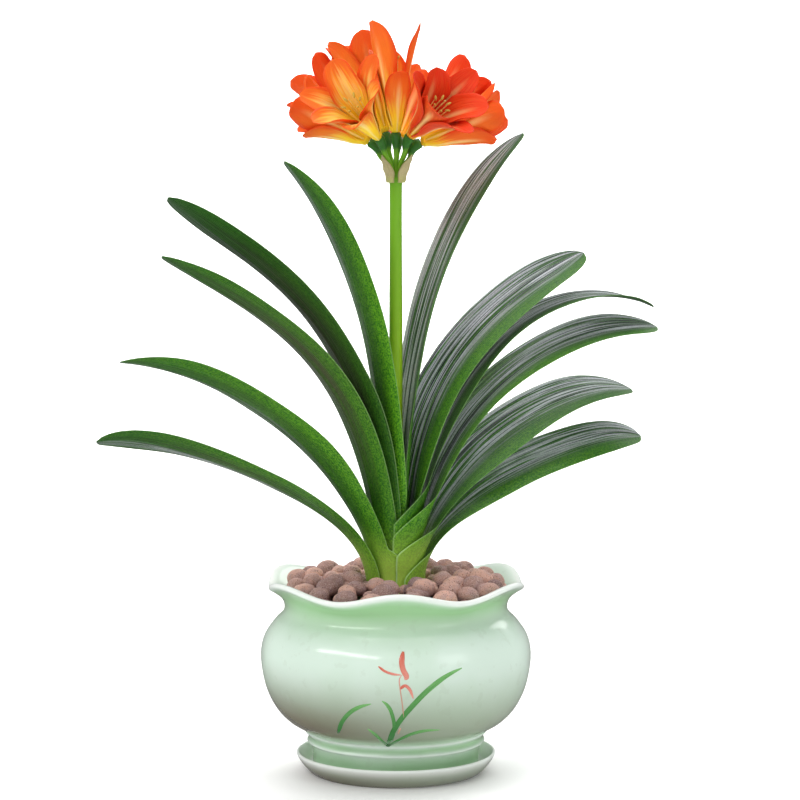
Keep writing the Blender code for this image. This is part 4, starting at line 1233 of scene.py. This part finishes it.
def leaf_surface(name, order, azimuth, tilts, length, half_width, twist, stations, across):
    """Middle points, normals and painted values of one strap leaf, from sheath to tip."""
    radius = LEAF_FIRST_RADIUS + SHEATH_RADIUS_STEP * order
    total = LEAF_RISE + length
    fine_along = total * np.arange(LEAF_PATH_STEPS + 1) / LEAF_PATH_STEPS
    fine_share = np.maximum(0.0, fine_along - LEAF_RISE) / length
    fine_tilt = np.radians(bend_value(tilts, fine_share))
    path = walked(fine_tilt, total / LEAF_PATH_STEPS)
    places = (np.arange(stations) / (stations - 1)) ** LEAF_STATION_SPREAD * LEAF_PATH_STEPS
    along, share, tilt, out, up = picked(places, fine_along, fine_share, fine_tilt, *path)
    height = LEAF_BASE + along
    out = out + radius + (LEAF_RADIUS_STEP - SHEATH_RADIUS_STEP) * order * smooth_step(height, *SHEATH_EASE)
    curl = radius + np.minimum(UNROLL_LIMIT, UNROLL_RATE * np.maximum(0.0, along - UNROLL_FROM))
    wrap = WRAP_ANGLES[0] + (WRAP_ANGLES[1] - WRAP_ANGLES[0]) * smooth_step(height, *WRAP_HEIGHTS)
    wrapped = np.radians(wrap) * curl
    body = LEAF_SHOULDER + (1.0 - LEAF_SHOULDER) * smooth_step(share, 0.0, LEAF_FULL_AT)
    point = np.maximum(0.0, (share - LEAF_POINT_FROM) / (1.0 - LEAF_POINT_FROM))
    blunt = LEAF_SHARP if order < LEAF_SHARP_COUNT else LEAF_BLUNT
    open_width = half_width * body * np.sqrt(np.maximum(0.0, 1.0 - LEAF_POINT_SHAPE * point**blunt))
    low, high = OPEN_HEIGHTS
    high = high - EARLY_LEAN * tilts[1]
    width = wrapped + (open_width - wrapped) * smooth_step(height, low, high)
    depth = np.maximum(LEAF_LEAST_DEPTH, out - LEAF_AXIS_ROOM)
    widest = curl * np.arccos(np.clip(1.0 - depth / curl, -1.0, 1.0))
    width = np.where(height > WRAP_HEIGHTS[1], np.minimum(width, widest), width)
    width = np.maximum(width, LEAF_LEAST_WIDTH)
    front_width = width
    if name in FRONT_LAPS:
        notch, lap, rate = FRONT_LAPS[name]
        lapped = np.clip(lap - rate * (height - notch), 0.0, lap + FRONT_LAP_ROOM)
        front_width = np.maximum(np.radians(lapped) * curl, open_width)
    turn = twist[0] * smooth_step(share, 0.0, LEAF_FULL_AT)
    turn = np.radians(turn + (twist[1] - twist[0]) * smooth_step(share, LEAF_FULL_AT, 1.0))
    angle = math.radians(azimuth)
    rim = np.array([math.cos(angle), math.sin(angle), 0.0])
    top = np.array([0.0, 0.0, 1.0])
    flat_side = np.array([-rim[1], rim[0], 0.0])
    forward = rim * np.sin(tilt)[:, None] + top * np.cos(tilt)[:, None]
    outward = rim * np.cos(tilt)[:, None] - top * np.sin(tilt)[:, None]
    cos_turn, sin_turn = np.cos(turn)[:, None], np.sin(turn)[:, None]
    side = flat_side * cos_turn + np.cross(forward, flat_side) * sin_turn
    outward = outward * cos_turn + np.cross(forward, outward) * sin_turn
    centre = rim * out[:, None] + top * (LEAF_BASE + up)[:, None]
    spread = np.linspace(-1.0, 1.0, across)
    spread = np.sign(spread) * np.abs(spread) ** LEAF_ACROSS_SPREAD
    front_sign = -1.0 if "right" in name else 1.0
    widths = np.where(spread[None, :] * front_sign > 0.0, front_width[:, None], width[:, None])
    middle, normals = curled_strip(
        centre, side[:, None, :], outward[:, None, :], curl, widths, spread,
    )
    opened = smooth_step(height, *RELIEF_HEIGHTS) * (1.0 - smooth_step(share, *RELIEF_FADE))
    relief = LEAF_VEINS[0] * np.cos(math.pi * LEAF_VEINS[1] * spread)
    relief = relief + LEAF_MIDRIB[0] * np.exp(-((spread / LEAF_MIDRIB[1]) ** 2))
    wave_height, wave_length, wave_shift = LEAF_WAVE
    wave = np.sin(along / wave_length + order * wave_shift)[:, None] * np.abs(spread) ** 3
    relief = (relief + wave_height * wave) * opened[:, None]
    return middle + normals * relief[..., None], normals, along, share, spread


def leaf_values(order, looks, along, share, spread, right):
    """Painted values over a leaf: sheen (a painted reflection), brown tinge, fresh green and pale sheath."""
    sheen, brown, fresh = looks
    across = spread[None, :]
    run = share[:, None]
    low = smooth_step(run, *COLOUR_STARTS)
    # The painted sheen, a painted reflection, lies on the side of each blade that would catch the lights.
    if right:
        band = smooth_step(across, *RIGHT_SHEEN)
        green = 1.0 - smooth_step(across, *RIGHT_GREEN)
    else:
        middle, breadth = LEFT_SHEEN
        band = np.exp(-(((across - middle) / breadth) ** 2)) * smooth_step(run, *LEFT_SHEEN_STARTS)
        green = smooth_step(across, *LEFT_GREEN)
    pale = 1.0 - smooth_step(along[:, None] + PALE_EDGE_LAG * np.abs(across), *PALE_ENDS)
    first, last = PALE_LEAVES
    pale = PALE_STRENGTH * pale * (1.0 if first <= order <= last else PALE_HIDDEN)
    young = fresh * (FRESH_EVERYWHERE + (1.0 - FRESH_EVERYWHERE) * green)
    young = young * (1.0 - FRESH_FADE * smooth_step(run, *FRESH_FADE_RUN))
    young = np.maximum(young, 1.0 - smooth_step(run, *FRESH_FOOT))
    tinge = brown * low * np.exp(-(((run - BROWN_DEEPEST) / BROWN_SPREAD) ** 2))
    tinge = tinge * (1.0 - BROWN_DRIVEN_BACK * green)
    return {
        "sheen": sheen * band * low, "brown": tinge, "fresh": young, "pale": pale,
        "across": across, "along": run, "seed": float(order),
    }


class CLIVIA_OT_grow_leaves(bpy.types.Operator):
    """Grow the eleven strap leaves of the fan from their wrapped sheaths"""

    bl_idname = "clivia.grow_leaves"
    bl_label = "Grow Leaves"

    def execute(self, context):
        settings = context.scene.clivia_leaves
        material = leaf_material(settings)
        for order, (name, azimuth, tilts, length, half_width, twist, looks) in enumerate(LEAVES):
            middle, normals, along, share, spread = leaf_surface(
                name, order, azimuth, tilts, length, half_width, twist,
                settings.stations, settings.across,
            )
            values = leaf_values(order, looks, along, share, spread, "right" in name)
            thickness = settings.thickness * thinned(spread, share, *LEAF_THINNING)
            shape = Shape(*values)
            shape.add_plate(middle, normals, thickness, **values)
            stand_for(shape.build(name + "_blade", material), name)
        return {"FINISHED"}


def flower_frame(base, axis):
    """Base, direction, side and up of a flower."""
    direction = Vector(axis).normalized()
    side = direction.cross(Vector((0.0, 0.0, 1.0)))
    if side.length < 0.2:
        side = direction.cross(Vector((0.0, 1.0, 0.0)))
    side.normalize()
    up = side.cross(direction).normalized()
    return tuple(np.array(v) for v in (Vector(base), direction, side, up))


class CLIVIA_OT_raise_stalk(bpy.types.Operator):
    """Raise the stalk with its pedicels and ovaries"""

    bl_idname = "clivia.raise_stalk"
    bl_label = "Raise Stalk"

    def execute(self, context):
        flowers = context.scene.clivia_flowers
        shape = Shape("across", "along", "ovary")
        fine = smooth_line([(radius, height) for height, radius in SCAPE_PROFILE], SCAPE_STEPS)
        line = np.stack([0 * fine[:, 1], 0 * fine[:, 1], fine[:, 1]], axis=-1)
        along = (fine[:, 1] - LEAF_BASE) / (SCAPE_TOP - LEAF_BASE)
        shape.add_tube(line, fine[:, 0], SCAPE_SIDES, along=along)
        around = np.tile(np.sin(np.arange(SCAPE_SIDES) * math.tau / SCAPE_SIDES * 2.0), len(line))
        shape.values["across"] = around.tolist()
        for bloom in BLOOMS:
            origin, direction = flower_frame(bloom[1], bloom[2])[:2]
            spread = np.array([origin[0], origin[1], 0.0])
            spread /= np.linalg.norm(spread)
            foot = np.array([0.0, 0.0, SCAPE_TOP - PEDICEL_FOOT[1]]) + spread * PEDICEL_FOOT[0]
            drop = (foot - origin) / np.linalg.norm(foot - origin)
            head = []
            for below, radius in PEDICEL_HEAD:
                share = PEDICEL_DROOP * below / PEDICEL_HEAD[0][0]
                head.append(origin + below * (drop * share - direction * (1.0 - share)))
            bend = (foot + head[0]) / 2.0 * np.array([PEDICEL_BEND, PEDICEL_BEND, 1.0])
            radii = [PEDICEL_THINNEST, PEDICEL_THINNEST] + [radius for below, radius in PEDICEL_HEAD]
            course = np.column_stack([np.array([foot, bend] + head), radii])
            fine = smooth_line(course, PEDICEL_STEPS)
            shares = np.linspace(0.0, 1.0, len(fine))
            ovary = smooth_step(fine[:, 3], *OVARY_RADII)
            shape.add_tube(
                fine[:, :3], fine[:, 3], PEDICEL_SIDES, along=1.0, across=shares * 0.2, ovary=ovary,
            )
        stand_for(shape.build("flower_stalk", stalk_material(flowers)), "scape")
        return {"FINISHED"}


class CLIVIA_OT_grow_bracts(bpy.types.Operator):
    """Grow the two papery bracts at the head of the stalk"""

    bl_idname = "clivia.grow_bracts"
    bl_label = "Grow Bracts"

    def execute(self, context):
        material = bract_material(context.scene.clivia_flowers)
        for name, azimuth, height, lean, half_width in BRACTS:
            angle = math.radians(azimuth)
            rim = np.array([math.cos(angle), math.sin(angle), 0.0])
            side = np.array([-rim[1], rim[0], 0.0])
            share = np.linspace(0.0, 1.0, BRACT_ROWS)
            spread = np.linspace(-1.0, 1.0, BRACT_COLUMNS)
            tilt = np.radians(lean + BRACT_FLARE) * (BRACT_FOOT_LEAN + (1.0 - BRACT_FOOT_LEAN) * share)
            out = BRACT_RADIUS + height * share * np.sin(tilt)
            up = SCAPE_TOP - BRACT_FOOT + height * share * np.cos(tilt)
            foot_width, widening, full_at = BRACT_SWELL
            swell = foot_width + widening * smooth_step(share, 0.0, full_at)
            width = half_width * swell * (1.0 - share**BRACT_POINT)
            width = np.maximum(BRACT_LEAST_WIDTH, width)[:, None]
            centre = rim * out[:, None] + np.array([0.0, 0.0, 1.0]) * up[:, None]
            curl = np.full(BRACT_ROWS, BRACT_CURL)
            middle, normals = curled_strip(centre, side, rim, curl, width, spread)
            ripple_height, ripple_rate = BRACT_RIPPLE
            ripple = ripple_height * np.sin(share * ripple_rate)[:, None] * spread**2
            middle = middle + normals * ripple[..., None]
            shape = Shape("across", "along")
            shape.add_plate(middle, normals, BRACT_THICKNESS, along=share[:, None], across=spread)
            stand_for(shape.build(name + "_sheet", material), name)
        return {"FINISHED"}


def petal_surface(flower, angle, outer, flare, length, size, broad, stations, across, chance):
    """Middle points and normals of one petal that rises in the tube and opens."""
    origin, direction, side, up = flower
    spoke = side * math.cos(angle) + up * math.sin(angle)
    cross = np.cross(direction, spoke)
    fine_share = np.arange(PETAL_PATH_STEPS + 1) / PETAL_PATH_STEPS
    open_angle = flare * (1.0 if outer else PETAL_INNER_FLARE)
    fine_tilt = np.radians(PETAL_START_TILT + open_angle * smooth_step(fine_share, *PETAL_OPEN))
    path = walked(fine_tilt, length / PETAL_PATH_STEPS)
    places = np.linspace(0.0, 1.0, stations) ** PETAL_STATION_SPREAD * PETAL_PATH_STEPS
    share, tilt, out, forward = picked(places, fine_share, fine_tilt, *path)
    widest = (PETAL_WIDTHS[0] if outer else PETAL_WIDTHS[1]) * size * broad
    slimmer, slim_to = PETAL_SLIM
    slim = 1.0 - slimmer * (1.0 - smooth_step(share, 0.0, slim_to))
    out = (TUBE_RADIUS + (OUTER_LAYER_GAP if outer else 0.0) + out) * slim
    width = PETAL_FOOT + (widest - PETAL_FOOT) * smooth_step(share, 0.0, PETAL_FULL_AT)
    width = np.minimum(out * PETAL_ROOM, width)
    point = np.maximum(0.0, (share - PETAL_FULL_AT) / (1.0 - PETAL_FULL_AT))
    rounding = np.sqrt(np.maximum(0.0, 1.0 - point**PETAL_POINT))
    width = width * np.maximum(PETAL_LEAST_SHARE, rounding)
    blend = smooth_step(share, *PETAL_BLEND)
    curl = np.maximum(out, PETAL_FOOT) * PETAL_TUBE_CUP * (1.0 - blend) + PETAL_CUP * blend
    curl = np.maximum(curl, width / PETAL_MOST_BEND)
    spread = np.linspace(-1.0, 1.0, across)
    outward = spoke * np.cos(tilt)[:, None] - direction * np.sin(tilt)[:, None]
    centre = origin + spoke * out[:, None] + direction * forward[:, None]
    middle, normals = curled_strip(centre, cross, outward[:, None, :], curl, width[:, None], spread)
    phase = chance.uniform(0.0, math.tau)
    late = smooth_step(share, *PETAL_WAVE_STARTS)[:, None]
    relief = PETAL_MIDRIB[0] * np.exp(-((spread / PETAL_MIDRIB[1]) ** 2))
    relief = relief - PETAL_VEINS[0] * np.cos(math.pi * PETAL_VEINS[1] * spread)
    wave_height, wave_rate = PETAL_WAVE
    wave = np.abs(spread) ** 3 * np.sin(share * wave_rate + phase)[:, None]
    relief = relief + wave_height * wave * late
    relief = relief * (1.0 - smooth_step(share, *PETAL_RELIEF_FADE))[:, None]
    return middle + normals * relief[..., None], normals, share, spread


class CLIVIA_OT_open_flowers(bpy.types.Operator):
    """Open the nine funnel flowers, six petals each"""

    bl_idname = "clivia.open_flowers"
    bl_label = "Open Flowers"

    def execute(self, context):
        settings = context.scene.clivia_flowers
        material = petal_material(settings)
        for number, (name, base, axis, flare, length, size, turn, red) in enumerate(BLOOMS):
            chance = random.Random(number)
            flower = flower_frame(base, axis)
            origin, direction = flower[:2]
            shape = Shape("upper", "across", "along", "red")
            fine = smooth_line(FLOWER_CORE, FLOWER_CORE_STEPS)
            line = origin + direction * fine[:, 0:1]
            shape.add_tube(line, fine[:, 1], FLOWER_CORE_SIDES, along=0.05, across=0.5, red=red)
            for k in range(PETAL_COUNT):
                angle = math.radians(turn) + math.tau * k / PETAL_COUNT
                longer, wider_flare, broad = PETAL_TWEAKS.get((name, k), (1.0, 0.0, 1.0))
                middle, normals, share, spread = petal_surface(
                    flower, angle, k % 2 == 0, flare + wider_flare, length * longer, size, broad,
                    settings.stations, settings.across, chance,
                )
                own = min(1.0, max(0.0, red + chance.uniform(-PETAL_RED_CHANCE, PETAL_RED_CHANCE)))
                thickness = settings.thickness * thinned(spread, share, *PETAL_THINNING)
                shape.add_plate(
                    middle, normals, thickness, along=share[:, None], red=own, across=spread,
                )
            stand_for(shape.build(name + "_petals", material), name)
        return {"FINISHED"}


class CLIVIA_OT_set_stamens(bpy.types.Operator):
    """Set six stamens and a style in every flower"""

    bl_idname = "clivia.set_stamens"
    bl_label = "Set Stamens"

    def execute(self, context):
        material = stamen_material(context.scene.clivia_flowers)
        for name, base, axis, flare, length, size, turn, red in BLOOMS:
            origin, direction, side, up = flower_frame(base, axis)
            shape = Shape("anther")
            root = smooth_line(STAMEN_ROOT, THREAD_STEPS)
            shape.add_tube(origin + direction * root[:, 0:1], root[:, 1], STAMEN_ROOT_SIDES)
            reach = length * STAMEN_REACH
            for k in range(STAMEN_COUNT):
                style = k == STAMEN_COUNT - 1
                angle = math.radians(turn) + math.tau * (k + 0.5) / PETAL_COUNT
                spoke = side * math.cos(angle) + up * math.sin(angle)
                spread = 0.0 if style else STAMEN_SPREAD[0] + flare * STAMEN_SPREAD[1]
                far = reach * (STYLE_REACH if style else 1.0)
                bends = (
                    (STAMEN_START, 0.0), (far * THREAD_MIDDLE[0], THREAD_MIDDLE[1]),
                    (far - THREAD_NECK[0], THREAD_NECK[1]), (far - THREAD_END, 1.0),
                )
                path = [origin + direction * ahead + spoke * spread * out for ahead, out in bends]
                line = smooth_line(path, THREAD_STEPS)
                shape.add_tube(line, np.linspace(*THREAD_RADII, len(line)), THREAD_SIDES)
                tip = path[-1]
                if style:
                    self.add_bead(shape, tip, direction, *STYLE_BEAD)
                else:
                    lean = direction * ANTHER_LEAN[0] + spoke * ANTHER_LEAN[1]
                    self.add_bead(shape, tip, lean, *ANTHER_BEAD)
            stand_for(shape.build(name + "_threads", material), name + "_stamens")
        return {"FINISHED"}

    def add_bead(self, shape, tip, direction, half_length, radius, anther):
        """A small rounded sac centred on a thread's end."""
        direction = np.array(direction) / np.linalg.norm(direction)
        places = np.linspace(-1.0, 1.0, BEAD_RINGS)
        radii = radius * np.sqrt(np.maximum(0.02, 1.0 - places**2))
        shape.add_tube(tip + direction * places[:, None] * half_length, radii, BEAD_SIDES, anther=anther)


class CLIVIA_OT_build_stage(bpy.types.Operator):
    """Lay the pale floor and set the lights, surround and camera"""

    bl_idname = "clivia.build_stage"
    bl_label = "Build Stage"

    def execute(self, context):
        stage = context.scene.clivia_stage
        self.build_floor(stage)
        self.build_lights()
        world = bpy.data.worlds.new("even_surround")
        world.use_nodes = True
        tree = world.node_tree
        path = add_node(tree, "LightPath").outputs
        strength = ranged(tree, path["Is Camera Ray"], 0.0, 1.0, stage.sky, 1.0)
        dimmed = ranged(tree, path["Is Glossy Ray"], 0.0, 1.0, 1.0, stage.gloss)
        strength = times(tree, strength, dimmed)
        tree.links.new(strength, tree.nodes["Background"].inputs["Strength"])
        tree.nodes["Background"].inputs["Color"].default_value = (1.0, 1.0, 1.0, 1.0)
        context.scene.world = world
        context.scene.view_settings.view_transform = "Standard"
        camera_data = bpy.data.cameras.new("photo_camera")
        camera_data.lens = stage.lens
        camera_data.sensor_width = SENSOR_WIDTH
        camera = bpy.data.objects.new("photo_camera", camera_data)
        camera.location = CAMERA_PLACE
        aim = Vector(CAMERA_AIM) - Vector(CAMERA_PLACE)
        camera.rotation_euler = aim.to_track_quat("-Z", "Y").to_euler()
        context.scene.collection.objects.link(camera)
        context.scene.camera = camera
        return {"FINISHED"}

    def build_floor(self, stage):
        """A wide floor that curves up into a backdrop."""
        bm = bmesh.new()
        bend = FLOOR_BEND_RADIUS
        profile = [(FLOOR_FRONT, 0.0), (FLOOR_BEND_START, 0.0)]
        for k in range(1, FLOOR_BEND_STEPS + 1):
            angle = math.radians(90.0 * k / FLOOR_BEND_STEPS)
            profile.append((FLOOR_BEND_START + bend * math.sin(angle), bend - bend * math.cos(angle)))
        profile.append((FLOOR_BEND_START + bend, FLOOR_TOP))
        low = [bm.verts.new((-FLOOR_HALF_WIDTH, y, z)) for y, z in profile]
        high = [bm.verts.new((FLOOR_HALF_WIDTH, y, z)) for y, z in profile]
        for i in range(len(profile) - 1):
            bm.faces.new((low[i], high[i], high[i + 1], low[i + 1]))
        mesh = bpy.data.meshes.new("studio_floor")
        bm.to_mesh(mesh)
        bm.free()
        mesh.shade_smooth()
        material, tree, shader = new_material("studio_floor", 0.7, Specular_IOR_Level=0.2)
        mottle = use_group(tree, "Mottle", {"Scale": 3.0})
        pale = tuple(min(1.0, c * 1.03) for c in stage.floor)
        tree.links.new(mixed(tree, mottle["Blotch"], stage.floor, pale), shader.inputs["Base Color"])
        place = add_node(tree, "TexCoord").outputs["Object"]
        distance = add_node(tree, "VectorMath", {0: place}, operation="LENGTH").outputs["Value"]
        glow = ranged(tree, distance, *FLOOR_GLOW_FROM, 0.0, stage.far_glow)
        tree.links.new(glow, shader.inputs["Emission Strength"])
        shader.inputs["Emission Color"].default_value = (1.0, 1.0, 1.0, 1.0)
        mesh.materials.append(material)
        floor = bpy.data.objects.new("studio_floor", mesh)
        bpy.context.scene.collection.objects.link(floor)
        floor.visible_glossy = False

    def build_lights(self):
        """Rectangular lights, each turned to its aim."""
        for name, place, aim, width, height, power, colour in LIGHTS:
            data = bpy.data.lights.new(name, "AREA")
            data.shape = "RECTANGLE"
            data.size = width
            data.size_y = height
            data.energy = power
            data.color = colour
            light = bpy.data.objects.new(name, data)
            light.location = place
            light.rotation_euler = (Vector(aim) - Vector(place)).to_track_quat("-Z", "Y").to_euler()
            bpy.context.scene.collection.objects.link(light)


class CLIVIA_PT_panel(bpy.types.Panel):
    """Sidebar panel with a button for each piece and its settings"""

    bl_idname = "CLIVIA_PT_panel"
    bl_label = "Clivia"
    bl_space_type = "VIEW_3D"
    bl_region_type = "UI"
    bl_category = "Clivia"

    def draw(self, context):
        layout = self.layout
        for operator in OPERATORS:
            layout.operator(operator.bl_idname)
        for group_name in SETTINGS:
            group = getattr(context.scene, group_name)
            box = layout.box()
            box.label(text=group_name.replace("_", " "))
            for key in group.__annotations__:
                box.prop(group, key)


OPERATORS = (
    CLIVIA_OT_build_saucer,
    CLIVIA_OT_build_pot,
    CLIVIA_OT_paint_sprig,
    CLIVIA_OT_lay_stones,
    CLIVIA_OT_dress_soil,
    CLIVIA_OT_grow_leaves,
    CLIVIA_OT_raise_stalk,
    CLIVIA_OT_grow_bracts,
    CLIVIA_OT_open_flowers,
    CLIVIA_OT_set_stamens,
    CLIVIA_OT_build_stage,
)
SETTINGS = {
    "clivia_ware": WareSettings,
    "clivia_stones": StoneSettings,
    "clivia_leaves": LeafSettings,
    "clivia_flowers": FlowerSettings,
    "clivia_stage": StageSettings,
}


def register():
    for name, group in SETTINGS.items():
        bpy.utils.register_class(group)
        setattr(bpy.types.Scene, name, PointerProperty(type=group))
    for operator in OPERATORS:
        bpy.utils.register_class(operator)
    bpy.utils.register_class(CLIVIA_PT_panel)


def unregister():
    bpy.utils.unregister_class(CLIVIA_PT_panel)
    for operator in reversed(OPERATORS):
        bpy.utils.unregister_class(operator)
    for name, group in reversed(SETTINGS.items()):
        delattr(bpy.types.Scene, name)
        bpy.utils.unregister_class(group)


def main():
    register()
    make_vein_group()
    make_mottle_group()
    make_glaze_group()
    bpy.ops.clivia.build_saucer()
    bpy.ops.clivia.build_pot()
    bpy.ops.clivia.paint_sprig()
    bpy.ops.clivia.lay_stones()
    bpy.ops.clivia.dress_soil()
    bpy.ops.clivia.grow_leaves()
    bpy.ops.clivia.raise_stalk()
    bpy.ops.clivia.grow_bracts()
    bpy.ops.clivia.open_flowers()
    bpy.ops.clivia.set_stamens()
    bpy.ops.clivia.build_stage()


if __name__ == "__main__":
    main()
